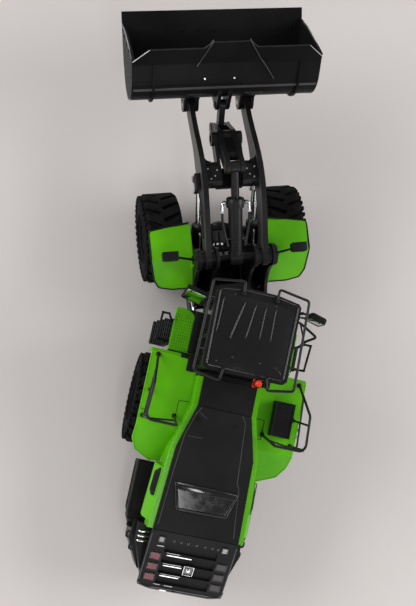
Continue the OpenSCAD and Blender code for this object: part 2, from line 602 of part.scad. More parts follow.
module at_grille() rear() translate([0, grille_low[0], grille_low[1]]) rotate([grille_slope, 0, 0]) children();
slat_l = (grille_l - 9.4) / grille_slats;
tail_pitch = 7.65;
module panel_lamp() translate([grille_w - 8.2, grille_l - 7, -1.8]) cube([2.8, 3, 3]);
module tail_lamp(i) translate([grille_w - 8.5, 5 + i * tail_pitch, -1]) cube([5.6, 4, 3]);
module rear_grille() {
  color(black) at_grille() {
    difference() {
      translate([-grille_w, 0, -4]) cube([2 * grille_w, grille_l, 4]);
      // cut square where it meets the hood
      translate([-40, grille_l, 0]) rotate([-grille_slope, 0, 0]) translate([0, 0.4, -20]) cube([80, 20, 40]);
      // each slat slopes down under the lip of the slat below it
      for (i = [0 : grille_slats - 1]) plate(-grille_w + 10.2, grille_w - 10.2)
        polygon([[3 + i * slat_l, -1.5], [3 + (i + 1) * slat_l - 0.8, 0], [3 + (i + 1) * slat_l - 0.8, 1],
          [3 + i * slat_l, 1]]);
      both() {
        panel_lamp();
        for (i = [0 : 2]) tail_lamp(i);
      }
    }
  }
  color(black) rear() plate(-grille_w + 2, grille_w - 2) polygon([[hood_y1, 49.5], [hood_y1, grille_pt(grille_l - 2, -2)[1]],
    grille_pt(grille_l - 4, -2), grille_pt(2, -2), [grille_pt(2, -2)[0], 49.5]]);
}
module rear_work_lamps() color(steel) at_grille() both() intersection() {
  panel_lamp();
  translate([0, 0, -2]) cube([grille_w, grille_l, 2.5]);
}
module tail_lamps() color("red") at_grille() both() for (i = [0 : 2]) intersection() {
  tail_lamp(i);
  translate([0, 0, -2]) cube([grille_w, grille_l, 2.4]);
}
module counterweight() color(black) rear() difference() {
  union() {
    translate([0, 0, 13]) linear_extrude(26) polygon([[-35, -134], [-36, -146], [-27, -163], [-10, -163],
      [10, -163], [27, -163], [36, -146], [35, -134]]);
    translate([0, 0, 39]) linear_extrude(10.5) difference() {
      polygon([[-33, -134], [-33, -145], [-25, -166], [25, -166], [33, -145], [33, -134]]);
      translate([-rail_x - 1.6, -150.1]) square([2 * rail_x + 3.2, 20]);
    }
    for (z = [16, 28]) translate([0, 0, z]) linear_extrude(6) bar2([0, -168], 4.6, [0, -158], 6);
  }
  // room under the slanted rear panel
  translate([0, grille_low[0], grille_low[1]]) rotate([grille_slope, 0, 0]) translate([-40, -10, -4]) cube([80, 60, 20]);
  translate([0, -168, 10]) cylinder(r = 2, h = 27);
  translate([-6.4, -173, 22]) cube([12.8, 9, 6]);
}
rear_fender_line = [[-96, 45], [-76, fender_z], [-30.2, fender_z], [-28.2, 64.2], [-27.4, 45]];
module rear_fender(s) color(lime) rear() mirror([s < 0 ? 1 : 0, 0, 0]) difference() {
  intersection() {
    plate(hood_x0 + 3.5, fender_x) polygon(strip(rear_fender_line, -panel_t));
    linear_extrude(90) polygon([[0, -20], [fender_x, -20], [fender_x, -84], [46, -91], [34, -97], [0, -97]]);
  }
  linear_extrude(90) hood_plan(3.4);
  translate([-cab_x, -38, 0]) cube([2 * cab_x, 60, 90]);
}
rail_foot = fender_z + 0.8;
rail_pts = [[45.4, -32, rail_foot], [47.2, -50.5, 97], [48, -68.7, 97], [45.8, -71.6, 97],
            [29.6, -71.7, 97], [28, -66.6, rail_foot]];
module handrail(s) color(black) rear() mirror([s < 0 ? 1 : 0, 0, 0]) {
  tube(rail_pts, rail_r);
  tube([[46.1, -39.4, 79], [47.5, -69.6, 80], [45.9, -71.2, 80], [28.9, -69.2, 82]], rail_r * 0.8);
  tube([[45.4, -54, rail_foot], [47.4, -56, 97]], rail_r * 0.8);
  tube([[46.8, -70, rail_foot], [46.6, -70.8, 97]], rail_r);
  for (p = [[45.4, -32], [28, -66.6], [45.4, -54], [46.8, -70]])
    translate([p[0], p[1], fender_z]) cylinder(r = 1.5, h = 1.2);
}
module side_platforms() color(lime) rear() both() {
  difference() {
    translate([cab_x, -27, 57]) cube([39.5 - cab_x, 27, 3]);
    for (i = [0 : 5]) translate([cab_x + 3 + i * 2.4, -24, 59.3]) cube([1.1, 21, 2]);
  }
}
module access_ladders() color(black) rear() both() {
  for (y = [-22.8, -9]) translate([37.5, y, 14]) cube([3.6, 1.4, 43]);
  for (i = [0 : 3]) translate([38, -22.8, 16 + i * 11]) cube([10 - i * 1.2, 15.2, 1.4]);
  tube([[40.6, -8.4, 55], [44, -6, 66], [48, -6, 66], [48, -21.8, 61], [40.6, -22.1, 55]], 0.7);
}
module fender_box() color(black) rear() difference() {
  translate([31.5, -66, fender_z]) cube([12, 21.5, 8]);
  translate([32.6, -65, fender_z + 7]) cube([9.8, 19.5, 2]);
}
module rear_side_boxes() color(black) rear() both() {
  difference() {
    union() {
      translate([rail_x + 1.5, -131, 18]) cube([38.1 - rail_x, 33, 14]);
      translate([rail_x + 1.5, -131, 32]) cube([12, 33, 11]);
    }
    translate([37.6, -127, 21]) cube([10, 11, 8]);
    translate([37.6, -113, 21]) cube([10, 11, 8]);
  }
}

// ---------- cab ----------
cab_y0 = 8;
cab_y1 = -36;
roof_t = 5;
cab_seat_z = hinge_top + 2 * hinge_t + side;
glass_sag = 5.6;
glass_x = cab_x - 0.5;
glass_r = (pow(glass_x, 2) + pow(glass_sag, 2)) / (2 * glass_sag);
module cab_nose() intersection() {
  translate([0, cab_y0 + glass_sag - glass_r]) circle(glass_r, $fn = 96);
  translate([-30, cab_y0]) square([60, 10]);
}
module cab_frame() color(black) rear() {
  difference() {
    translate([-cab_x, cab_y1, cab_seat_z]) cube([2 * cab_x, cab_y0 - cab_y1, cab_floor_z - cab_seat_z]);
    translate([-cab_x + 2, cab_y1 + 2, cab_seat_z - 1]) cube([2 * cab_x - 4, cab_y0 - cab_y1 - 4, cab_floor_z - cab_seat_z - 1]);
  }
  translate([0, 0, cab_floor_z - 4]) linear_extrude(4) cab_nose();
  both() {
    translate([cab_x - 2.4, cab_y0 - 2.4, cab_floor_z]) cube([2.4, 2.4, roof_z - roof_t - cab_floor_z]);
    translate([cab_x - 2.4, -17, cab_floor_z]) cube([2.4, 2.4, roof_z - roof_t - cab_floor_z]);
    translate([cab_x - 2.4, cab_y1, cab_floor_z]) cube([2.4, 2.4, roof_z - roof_t - cab_floor_z]);
    translate([cab_x - 2.4, cab_y1 + 2.4, cab_floor_z]) cube([2.4, cab_y0 - cab_y1 - 4.8, 5]);
  }
  translate([-cab_x + 2.4, cab_y1, cab_floor_z]) cube([2 * cab_x - 4.8, 2.4, 16]);
}
module cab_glass() color([0.5, 0.6, 0.6, 0.4]) rear() {
  h = roof_z - roof_t - cab_floor_z;
  // bowed windscreen
  translate([0, 0, cab_floor_z]) linear_extrude(h) difference() {
    cab_nose();
    translate([0, cab_y0 + glass_sag - glass_r]) circle(glass_r - 1, $fn = 96);
  }
  both() {
    translate([cab_x - 1.7, -14.6, cab_floor_z + 5]) cube([1, cab_y0 - 2.4 + 14.6, h - 5]);
    translate([cab_x - 1.7, cab_y1 + 2.4, cab_floor_z + 5]) cube([1, -17 - cab_y1 - 2.4, h - 5]);
  }
  translate([-cab_x + 2.4, cab_y1 + 0.7, cab_floor_z + 16]) cube([2 * cab_x - 4.8, 1, h - 16]);
}
module cab_roof() color(black) rear() {
  translate([0, 0, roof_z - roof_t]) difference() {
    linear_extrude(roof_t) polygon([[-roof_x + 2, -37], [roof_x - 2, -37], [roof_x, -35], [roof_x, 8.6], [roof_x - 1.6, 10.4],
      [10, 12.6], [-10, 12.6], [-roof_x + 1.6, 10.4], [-roof_x, 8.6], [-roof_x, -35]]);
    translate([-roof_x + 3, -34, roof_t - 0.8]) cube([2 * roof_x - 6, 40, 2]);
  }
  for (x = [-15.5 : 6.2 : 15.5]) translate([x - 1, -31, roof_z - 0.8]) cube([2, 34, 0.9]);
}
module roof_rails() color(black) rear() both() {
  tube([[10, 9, roof_z + 1], [10.2, 16, roof_z + 1.3], [28.6, 13.2, roof_z + 1.3], [29.6, -39.6, roof_z + 1.3],
        [14, -42.4, roof_z + 1.3], [13, -35.4, roof_z + 1]], rail_r);
  for (p = [[10, 9], [13, -35.4]]) translate([p[0] - 1.2, p[1] - 0.9, roof_z]) cube([2.4, 1.8, 1.9]);
}
module beacon() color([0.9, 0.15, 0.05]) rear() translate([8.6, -39.4, roof_z - 1.6]) {
  translate([-2.4, -2.4, -1.4]) cube([4.8, 4.8, 1.4]);
  cylinder(r = 1.8, h = 4);
  translate([0, 0, 4]) sphere(r = 1.8);
}
module operator_seat() color(matte) rear() {
  translate([-6, -24, cab_floor_z]) cube([12, 10, 6]);
  translate([-7, -25, cab_floor_z + 6]) cube([14, 13, 4]);
  translate([-6.5, -29, cab_floor_z + 8]) cube([13, 4, 18]);
}
module steering_column() color(matte) rear() {
  translate([-2.4, -0.8, cab_floor_z]) cube([4.8, 5, 2.2]);
  rod3([0, 1.6, cab_floor_z + 1.4], [0, -4, cab_floor_z + 17], 1.2);
  translate([0, -4, cab_floor_z + 17]) rotate([20, 0, 0]) rotate_extrude() translate([4.6, 0]) circle(0.7, $fn = 20);
  translate([0, -4, cab_floor_z + 17]) rotate([20, 0, 0]) translate([-4.6, -0.6, -0.5]) cube([9.2, 1.2, 1]);
}
// the left mirror is the larger one and is tipped forward at its top
module mirror_arm(s) color(black) rear() mirror([s < 0 ? 1 : 0, 0, 0]) {
  translate([cab_x, 4.4, 88]) cube([1.5, 3.6, 11]);
  if (s < 0) {
    tube([[cab_x + 0.9, 6.4, 97.4], [27, 7.4, 97.6], [33.4, 5.7, 96]], 0.7);
    rod3([cab_x + 0.9, 5.8, 89.4], [30.4, 6.4, 96.6], 0.6);
    translate([28.2, 0.4, 85]) rotate([0, 0, 12]) rotate([-16, 0, 0]) cube([13.6, 2.2, 15.4]);
  } else {
    tube([[cab_x + 0.9, 6.4, 97.4], [30, 8, 99], [38.5, 7.1, 99]], 0.7);
    rod3([cab_x + 0.9, 5.8, 89.4], [31, 7.9, 98.9], 0.6);
    translate([34.5, 6.5, 87.5]) rotate([0, 0, -14]) cube([10, 2.4, 13.4]);
  }
}

// ---------- every node of the part ----------
rear_chassis();
driveline();
counterweight();
hood_shell();
hood_top();
hood_window();
rear_grille();
rear_work_lamps();
tail_lamps();
rear_fender(-1);  // rear_fender_left
rear_fender(1);  // rear_fender_right
handrail(-1);  // handrail_left
handrail(1);  // handrail_right
side_platforms();
access_ladders();
fender_box();
rear_side_boxes();
cab_frame();
cab_glass();
cab_roof();
roof_rails();
beacon();
operator_seat();
steering_column();
mirror_arm(-1);  // mirror_left
mirror_arm(1);  // mirror_right
rear_axle();
rear() wheel_at(-rear_axle_y, -1) tyre();  // tyre_rear_left
rear() wheel_at(-rear_axle_y, 1) tyre();  // tyre_rear_right
rear() wheel_at(-rear_axle_y, -1) rim();  // rim_rear_left
rear() wheel_at(-rear_axle_y, 1) rim();  // rim_rear_right
front() wheel_at(front_axle_y, -1) tyre();  // tyre_front_left
front() wheel_at(front_axle_y, 1) tyre();  // tyre_front_right
front() wheel_at(front_axle_y, -1) rim();  // rim_front_left
front() wheel_at(front_axle_y, 1) rim();  // rim_front_right
front_chassis();
front_axle();
front_pins();
front_fender(-1);  // front_fender_left
front_fender(1);  // front_fender_right
work_lamp(-1);  // work_lamp_left
work_lamp(1);  // work_lamp_right
boom_arm(-1);  // boom_arm_left
boom_arm(1);  // boom_arm_right
boom_cross_tube();
boom_pins();
arm_sensor();
rocker();
link();
tilt_barrel();
tilt_rod();
bucket();
cutting_edge();
lift_barrels();
lift_rods();
steer_barrel(-1);  // steer_barrel_left
steer_barrel(1);  // steer_barrel_right
steer_rod(-1);  // steer_rod_left
steer_rod(1);  // steer_rod_right
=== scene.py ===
# %% [markdown]
# # Dressing a toy wheel loader
# The solid parts of the loader come ready made and hinged. This lesson gives each of them its finish, and
# then adds the pieces that make it look real: cushions, hoses, lenses, bolts, trim. Everything rides on a
# hinged body.

# %% Load the ready-made solids
import json
import math

import bpy
from mathutils import Matrix, Vector


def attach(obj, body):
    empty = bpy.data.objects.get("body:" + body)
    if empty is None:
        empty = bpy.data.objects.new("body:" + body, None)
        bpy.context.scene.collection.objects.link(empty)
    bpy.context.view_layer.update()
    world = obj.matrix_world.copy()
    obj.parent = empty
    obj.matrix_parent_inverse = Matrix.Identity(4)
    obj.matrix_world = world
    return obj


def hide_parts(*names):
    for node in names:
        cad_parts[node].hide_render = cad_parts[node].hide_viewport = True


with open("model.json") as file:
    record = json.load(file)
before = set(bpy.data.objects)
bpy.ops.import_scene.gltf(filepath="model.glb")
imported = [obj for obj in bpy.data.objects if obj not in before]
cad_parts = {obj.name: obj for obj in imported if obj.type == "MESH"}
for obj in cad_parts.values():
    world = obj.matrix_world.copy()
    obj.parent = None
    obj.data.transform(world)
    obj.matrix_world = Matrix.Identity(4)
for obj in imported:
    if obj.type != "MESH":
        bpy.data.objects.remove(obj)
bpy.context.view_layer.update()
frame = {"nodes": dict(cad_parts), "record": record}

# %% [markdown]
# The machine is bent in the middle and its boom is raised, so few surfaces lie square to the world. Each
# piece is therefore modelled in millimetres in a local frame where it does lie square, and a matrix then
# carries it to its place and shrinks it a thousand times. One matrix per region is easier to read than
# angles on every piece.

# %% Local frames
def turn(axis, degrees):
    return Matrix.Rotation(math.radians(degrees), 4, axis)


def shift(x, y, z):
    return Matrix.Translation((x, y, z))


FRONT = Matrix.Scale(0.001, 4) @ shift(10.9, -11.9, 0)
REAR = FRONT @ turn("Z", -18)
HOOD = REAR @ shift(0, -57.5, 79) @ turn("X", 7.08)
PANEL = REAR @ shift(0, -170.04, 51.34) @ turn("X", 27)
BOOM = FRONT @ shift(0, 38.7, 73) @ turn("X", -3.4)
BUCKET = BOOM @ shift(0, 100.5, 0) @ turn("X", 27.4)
LIFT = FRONT @ shift(0, 26.604, 24.485) @ turn("X", 39.0)
TILT = BOOM @ turn("X", 27.98)
print("hood frame stands at", [round(1000 * v, 1) for v in HOOD.translation])

# %% [markdown]
# The camera comes first, so that every later look has the same view. It hangs well above the cab, a little
# to the left, and looks almost straight down through a longish lens, which keeps the far bucket and the
# near cab in scale.

# %% Camera
camera_data = bpy.data.cameras.new("camera")
camera_data.sensor_fit = "HORIZONTAL"
camera_data.sensor_width = 36
camera_data.lens = 76.02
camera_data.clip_start = 0.01
camera = bpy.data.objects.new("camera", camera_data)
bpy.context.scene.collection.objects.link(camera)
camera.location = (-0.108229, -0.047260, 0.599983)
camera.rotation_euler = (0.105949, -0.175435, -0.103223)
bpy.context.scene.camera = camera
print("camera height in mm:", round(camera.location.z * 1000))

# %% [markdown]
# A die-cast toy is seen by its reflections. Large soft lamps to the sides leave long gentle highlights on
# the paint and the rods. The sky is a gradient: bright along the horizon and dim straight above, since the
# black roof and hood mirror what is above them and have to stay black. Its height comes from the direction
# each ray looks in.

# %% Soft studio light
world = bpy.data.worlds.new("studio")
world.use_nodes = True
sky = world.node_tree
direction = sky.nodes.new("ShaderNodeTexCoord").outputs["Generated"]
height = sky.nodes.new("ShaderNodeSeparateXYZ")
sky.links.new(direction, height.inputs["Vector"])
level = sky.nodes.new("ShaderNodeMapRange")
level.inputs["To Min"].default_value = 1.0
level.inputs["To Max"].default_value = 0.18
sky.links.new(height.outputs["Z"], level.inputs["Value"])
sky.nodes["Background"].inputs["Color"].default_value = (1.0, 0.985, 0.975, 1)
sky.links.new(level.outputs["Result"], sky.nodes["Background"].inputs["Strength"])
bpy.context.scene.world = world
bpy.context.scene.view_settings.view_transform = "Standard"


def soft_lamp(name, place, aim, size, power):
    lamp = bpy.data.lights.new(name, "AREA")
    lamp.shape, lamp.size, lamp.size_y, lamp.energy = "RECTANGLE", size[0], size[1], power
    holder = bpy.data.objects.new(name, lamp)
    bpy.context.scene.collection.objects.link(holder)
    holder.location = place
    holder.rotation_euler = (Vector(aim) - Vector(place)).to_track_quat("-Z", "Y").to_euler()
    print(name, "power", power, "W")


soft_lamp("window_lamp", (-0.95, 0.4, 0.75), (0, 0, 0), (0.9, 0.5), 11)
soft_lamp("side_lamp", (1.0, -0.1, 0.75), (0, 0, 0), (0.7, 0.5), 9)
soft_lamp("rear_lamp", (-0.1, -1.1, 0.6), (0, -0.05, 0), (0.8, 0.4), 3.5)
soft_lamp("glass_lamp", (-0.03, -0.52, 1.15), (-0.03, -0.12, 0.07), (0.1, 0.22), 1.0)

# %% [markdown]
# Materials are built from nodes. Each one starts from a Principled shader whose fixed numbers sit on its
# own sockets. Noise on object coordinates then varies the colour, the roughness and a fine bump, because
# even new plastic and paint are never perfectly even. One helper wires this, so each finish below is a
# single call.

# %% A helper that wires a finish
looks = {}


def set_numbers(node, **numbers):
    for socket, number in numbers.items():
        node.inputs[socket.replace("_", " ")].default_value = number


def new_node(tree, kind, feed=None, **numbers):
    """Add a node, feed its vector socket if asked to, and set its numbers."""
    node = tree.nodes.new("ShaderNode" + kind)
    set_numbers(node, **numbers)
    if feed:
        tree.links.new(feed, node.inputs["Vector"])
    return node


def object_place(tree):
    return new_node(tree, "TexCoord").outputs["Object"]


def noise(tree, scale, detail, stretch):
    where = object_place(tree)
    if stretch:
        where = new_node(tree, "Mapping", where, Scale=stretch).outputs["Vector"]
    return new_node(tree, "TexNoise", where, Scale=scale, Detail=detail).outputs["Fac"]


def remap(tree, value, low, high):
    node = new_node(tree, "MapRange", From_Min=0.35, From_Max=0.65, To_Min=low, To_Max=high)
    tree.links.new(value, node.inputs["Value"])
    return node.outputs["Result"]


def finish(name, dark, light, rough, metal=0.0, coat=0.0, patch=30.0, grain=900.0, bump=0.05, stretch=None,
           depth=0.0002, shine=0.5):
    look = bpy.data.materials.new(name)
    look.use_nodes = True
    tree = look.node_tree
    shader = tree.nodes["Principled BSDF"]
    set_numbers(shader, Metallic=metal, Specular_IOR_Level=shine, Coat_Weight=coat, Coat_Roughness=0.08)
    tones = tree.nodes.new("ShaderNodeMix")
    tones.data_type = "RGBA"
    set_numbers(tones, A=(*dark, 1), B=(*light, 1))
    tree.links.new(remap(tree, noise(tree, patch, 4.0, stretch), 0, 1), tones.inputs["Factor"])
    tree.links.new(tones.outputs["Result"], shader.inputs["Base Color"])
    fine = noise(tree, grain, 2.0, stretch)
    tree.links.new(remap(tree, fine, rough[0], rough[1]), shader.inputs["Roughness"])
    relief = new_node(tree, "Bump", Strength=bump, Distance=depth)
    tree.links.new(fine, relief.inputs["Height"])
    tree.links.new(relief.outputs["Normal"], shader.inputs["Normal"])
    look.diffuse_color = (*light, 1)
    looks[name] = look
    print("finish", name)
    return look


# %% [markdown]
# The paint is a strong yellow-green under a thin clear coat, with a faint orange peel. The black parts are
# of several kinds: satin paint on the steelwork, grained plastic on the hood, and a polished black on the
# panel and window.

# %% Paints and plastics
finish("lime_paint", (0.075, 0.36, 0.002), (0.1, 0.42, 0.003), (0.26, 0.36),
       coat=0.05, patch=22, grain=420, bump=0.03, shine=0.18)
finish("lime_plastic", (0.08, 0.35, 0.003), (0.105, 0.42, 0.004), (0.32, 0.44),
       patch=40, grain=1500, bump=0.06, shine=0.18)
# Painted shade: a darker copy of the lime plastic for the plate sunk between the tread dots.
finish("lime_groove", (0.055, 0.27, 0.002), (0.075, 0.32, 0.003), (0.4, 0.5),
       patch=40, grain=1500, bump=0.06, shine=0.2)
finish("black_paint", (0.005, 0.0048, 0.0049), (0.009, 0.0087, 0.0089), (0.3, 0.42),
       patch=40, grain=700, bump=0.05, shine=0.25)
finish("black_plastic", (0.006, 0.0057, 0.006), (0.0095, 0.0091, 0.0094), (0.42, 0.55),
       patch=35, grain=2600, bump=0.1, shine=0.12)
finish("grey_plastic", (0.02, 0.02, 0.021), (0.032, 0.032, 0.033), (0.45, 0.6),
       patch=60, grain=2400, bump=0.12, shine=0.3)
finish("gloss_black", (0.005, 0.0048, 0.0049), (0.007, 0.0068, 0.007), (0.08, 0.15),
       coat=0.25, patch=25, grain=260, bump=0.01, shine=0.4)

# %% [markdown]
# Metals keep Metallic at one, and their base colour is the colour of the reflection. The cylinder rods are
# chromed and nearly smooth, pins and edges are duller and a little streaked. The bushing is the warm tone
# of bronze.

# %% Metals
finish("bright_rod", (0.66, 0.66, 0.68), (0.78, 0.78, 0.8), (0.12, 0.22),
       metal=1, patch=90, grain=1600, bump=0.03)
finish("pin_steel", (0.36, 0.36, 0.38), (0.52, 0.52, 0.54), (0.24, 0.4),
       metal=1, patch=160, grain=2000, bump=0.08)
finish("edge_steel", (0.022, 0.022, 0.023), (0.045, 0.045, 0.047), (0.3, 0.45),
       metal=1, patch=120, grain=900, bump=0.1, stretch=(0.2, 1, 1))
finish("bronze", (0.42, 0.27, 0.12), (0.58, 0.4, 0.2), (0.28, 0.42),
       metal=1, patch=200, grain=1800, bump=0.08)
finish("bucket_black", (0.0045, 0.0044, 0.0046), (0.0085, 0.0083, 0.0087), (0.36, 0.48),
       patch=24, grain=700, bump=0.05, shine=0.05)
# Painted highlight: a lighter satin for black faces where light rakes along them.
finish("arm_side", (0.03, 0.0285, 0.029), (0.05, 0.048, 0.0485), (0.38, 0.5),
       patch=26, grain=800, bump=0.06, shine=0.35)

# %% [markdown]
# Rubber scatters light softly and shows dust in its low places, so its two tones lie further apart. Cloth
# needs a weave, which two crossed waves give; the waves follow the cushions because they are tied to object
# coordinates.

# %% Rubber and cloth
finish("tyre", (0.0035, 0.0034, 0.0035), (0.0085, 0.0082, 0.008), (0.62, 0.85),
       patch=110, grain=1700, bump=0.35, depth=0.0003, shine=0.06)
finish("hose_rubber", (0.005, 0.005, 0.005), (0.009, 0.009, 0.009), (0.4, 0.55),
       patch=300, grain=3000, bump=0.1, shine=0.3)
cloth = finish("seat_cloth", (0.02, 0.02, 0.022), (0.045, 0.045, 0.05), (0.8, 0.95),
               patch=300, grain=4000, bump=0.2)
tree = cloth.node_tree
weave = new_node(tree, "Math")
weave.operation = "MULTIPLY"
for socket, direction in enumerate(("X", "Z")):
    thread = new_node(tree, "TexWave", object_place(tree), Scale=900)
    thread.bands_direction = direction
    tree.links.new(thread.outputs["Fac"], weave.inputs[socket])
tree.links.new(weave.outputs[0], tree.nodes["Bump"].inputs["Height"])
set_numbers(tree.nodes["Principled BSDF"], Sheen_Weight=0.3)
print("cloth nodes:", len(tree.nodes))

# %% [markdown]
# Windows and lenses let light through. The cab windows are dark and smooth. A lamp lens is moulded in fine
# ribs, so its bump is a wave. The red lenses of the right side get painted shade: beyond a place along X,
# their colour is multiplied by a dark tint, as if they lay in shadow.

# %% Glass and lenses
def lens(name, dark, light, through, ribs=0.0):
    look = finish(name, dark, light, (0.05, 0.12), coat=0.1, patch=150, grain=600, bump=0.02, shine=0.35)
    tree = look.node_tree
    set_numbers(tree.nodes["Principled BSDF"], Transmission_Weight=through, IOR=1.49)
    if ribs:
        wave = new_node(tree, "TexWave", object_place(tree), Scale=ribs)
        set_numbers(tree.nodes["Bump"], Strength=0.5)
        tree.links.new(wave.outputs["Fac"], tree.nodes["Bump"].inputs["Height"])
    return tree


lens("cab_glass", (0.03, 0.033, 0.033), (0.05, 0.054, 0.054), 0.75)
lens("lamp_clear", (0.22, 0.22, 0.225), (0.34, 0.34, 0.345), 0.2, ribs=330)
red = lens("lamp_red", (0.09, 0.008, 0.013), (0.16, 0.015, 0.024), 0.0, ribs=330)
# Painted shade: beyond PANEL_MIDDLE the red lenses are darkened, as if they lay in shadow.
PANEL_MIDDLE = -0.0416
place = new_node(red, "SeparateXYZ", object_place(red))
beyond = new_node(red, "Math")
beyond.operation = "GREATER_THAN"
beyond.inputs[1].default_value = PANEL_MIDDLE
right_side_shade = new_node(red, "Mix")
right_side_shade.data_type, right_side_shade.blend_type = "RGBA", "MULTIPLY"
set_numbers(right_side_shade, B=(0.06, 0.08, 0.1, 1))
colour = red.nodes["Principled BSDF"].inputs["Base Color"]
red.links.new(place.outputs["X"], beyond.inputs[0])
red.links.new(beyond.outputs[0], right_side_shade.inputs["Factor"])
red.links.new(colour.links[0].from_socket, right_side_shade.inputs["A"])
red.links.new(right_side_shade.outputs["Result"], colour)
lens("beacon_orange", (0.75, 0.035, 0.01), (0.9, 0.07, 0.015), 0.3, ribs=420)
finish("mirror_glass", (0.62, 0.64, 0.65), (0.72, 0.74, 0.75), (0.02, 0.05),
       metal=1, patch=30, grain=300, bump=0.0)

# %% [markdown]
# Every solid names a finish slot in the record. Here each one gets the look of the same name, in place of
# the plain colour it came with. The boom arms get a painted highlight, a slightly lighter satin on their
# broad flat sides, where light rakes along them.

# %% Give the solids their finishes
slot_of = {row["node"]: row["material_slot"] for row in frame["record"]["subparts"]}
for name, node in frame["nodes"].items():
    node.data.materials.clear()
    node.data.materials.append(looks["black_plastic" if name == "hood_top" else slot_of[name]])
print("solids dressed:", len(slot_of))

# %% [markdown]
# The floor is a plain pale sheet with a barely visible mottle, and it only catches the shadow.

# %% Floor
bpy.ops.object.select_all(action="DESELECT")
bpy.ops.mesh.primitive_plane_add(size=6)
floor = bpy.context.object
floor.name = "floor"
finish("floor_board", (0.52, 0.49, 0.48), (0.545, 0.512, 0.5), (0.5, 0.6), patch=3, grain=200, bump=0.02)
floor.data.materials.append(looks["floor_board"])

# %% [markdown]
# # Modelling helpers
# An operator acts on whatever is selected, so the first helper clears the selection and picks one object.
# The next ones pick faces or edges in edit mode by their place or direction, which is what a hand with a
# mouse would do.

# %% Selecting in code
def only(*pieces):
    bpy.ops.object.select_all(action="DESELECT")
    for piece in pieces:
        piece.select_set(True)
    if pieces:
        bpy.context.view_layer.objects.active = pieces[0]


def settle():
    """Move the place, turn and size of what is selected into its mesh."""
    bpy.ops.object.transform_apply(location=True, rotation=True, scale=True)


def edit(piece, kind="FACE", pick=None):
    only(piece)
    bpy.ops.object.mode_set(mode="EDIT")
    bpy.ops.mesh.select_mode(type=kind)
    bpy.ops.mesh.select_all(action="DESELECT" if pick else "SELECT")
    bpy.ops.object.mode_set(mode="OBJECT")
    if pick and kind == "FACE":
        for face in piece.data.polygons:
            face.select = bool(pick(face.center, face.normal))
    if pick and kind == "EDGE":
        for edge in piece.data.edges:
            a, b = (piece.data.vertices[i].co for i in edge.vertices)
            edge.select = bool(pick((a + b) / 2, (b - a).normalized()))
    bpy.ops.object.mode_set(mode="EDIT")


def leave():
    bpy.ops.object.mode_set(mode="OBJECT")
    return bpy.context.object


def faced_out(piece):
    edit(piece)
    bpy.ops.mesh.normals_make_consistent(inside=False)
    return leave()


def sunk(piece, pick, *steps):
    """Sink the picked faces in steps, each an inset and how deep it goes."""
    edit(piece, "FACE", pick)
    for thickness, depth in steps:
        bpy.ops.mesh.inset(thickness=thickness, depth=depth)
    return leave()


def modified(piece, kind, **settings):
    only(piece)
    step = piece.modifiers.new(kind, kind)
    for key, value in settings.items():
        setattr(step, key, value)
    bpy.ops.object.modifier_apply(modifier=step.name)
    return piece


# %% [markdown]
# Four kinds of blank cover most of a machine. A block is a cube with its edges bevelled. A turned blank
# grows from a circle by extruding and scaling it again and again, like work in a lathe. A cut plate starts
# as a circle whose corners are moved to an outline, and a pipe is a curve with a round section, turned into
# a mesh.

# %% Blanks
def block(low, high, soft=0.3, steps=2):
    middle = [(a + b) / 2 for a, b in zip(low, high)]
    only()
    bpy.ops.mesh.primitive_cube_add(size=1, location=middle, scale=[b - a for a, b in zip(low, high)])
    settle()
    if soft:
        edit(bpy.context.object)
        bpy.ops.mesh.bevel(offset=soft, segments=steps, affect="EDGES")
        leave()
    return bpy.context.object


def turned(profile, facets=24):
    (radius, height), rest = profile[0], profile[1:]
    only()
    bpy.ops.mesh.primitive_circle_add(vertices=facets, radius=radius, fill_type="NGON",
                                      location=(0, 0, height))
    settle()
    edit(bpy.context.object)
    for wide, high in rest:
        bpy.ops.mesh.extrude_region_move(TRANSFORM_OT_translate={"value": (0, 0, high - height)})
        factor = wide / radius
        bpy.ops.transform.resize(value=(factor, factor, 1), center_override=(0, 0, high))
        radius, height = wide, high
    return faced_out(leave())


def cut_plate(outline, thick, soft=0.2):
    only()
    bpy.ops.mesh.primitive_circle_add(vertices=len(outline), radius=1, fill_type="NGON")
    piece = bpy.context.object
    for corner, (a, b) in zip(piece.data.vertices, outline):
        corner.co = (a, b, 0)
    edit(piece)
    bpy.ops.mesh.extrude_region_move(TRANSFORM_OT_translate={"value": (0, 0, thick)})
    faced_out(leave())
    return modified(piece, "BEVEL", width=soft, segments=2, limit_method="ANGLE") if soft else piece


def pipe(points, radius, smooth=False, closed=False, around=4):
    only()
    bpy.ops.curve.primitive_bezier_curve_add()
    line = bpy.context.object.data
    line.splines.clear()
    if not smooth:
        points = rounded(points, 2.2 * radius, closed)
    spline = line.splines.new("NURBS" if smooth else "POLY")
    spline.points.add(len(points) - 1)
    for spot, (x, y, z) in zip(spline.points, points):
        spot.co = (x, y, z, 1)
    if smooth:
        spline.order_u, spline.use_endpoint_u, spline.resolution_u = 4, True, 6
    spline.use_cyclic_u = closed
    line.dimensions, line.bevel_depth, line.bevel_resolution, line.use_fill_caps = "3D", radius, around, True
    bpy.ops.object.convert(target="MESH")
    return bpy.context.object


def rounded(points, radius, closed=False):
    """Each corner of the line becomes a short arc of five points."""
    points = [Vector(p) for p in points]
    count, soft = len(points), []
    for i, here in enumerate(points):
        if not closed and i in (0, count - 1):
            soft.append(here)
            continue
        back, on = points[i - 1] - here, points[(i + 1) % count] - here
        reach = min(radius, back.length / 2.1, on.length / 2.1)
        a, b = here + back.normalized() * reach, here + on.normalized() * reach
        soft += [(1 - t) ** 2 * a + 2 * t * (1 - t) * here + t * t * b for t in (0, 0.25, 0.5, 0.75, 1)]
    return soft


print("blanks ready")

# %% [markdown]
# What repeats is made once and copied. A mirrored copy has its faces turned inside out, so its normals are
# worked out again. A mount carries a finished blank to its place, gives it its finish and hangs it on its
# body, and each region has a mount of its own.

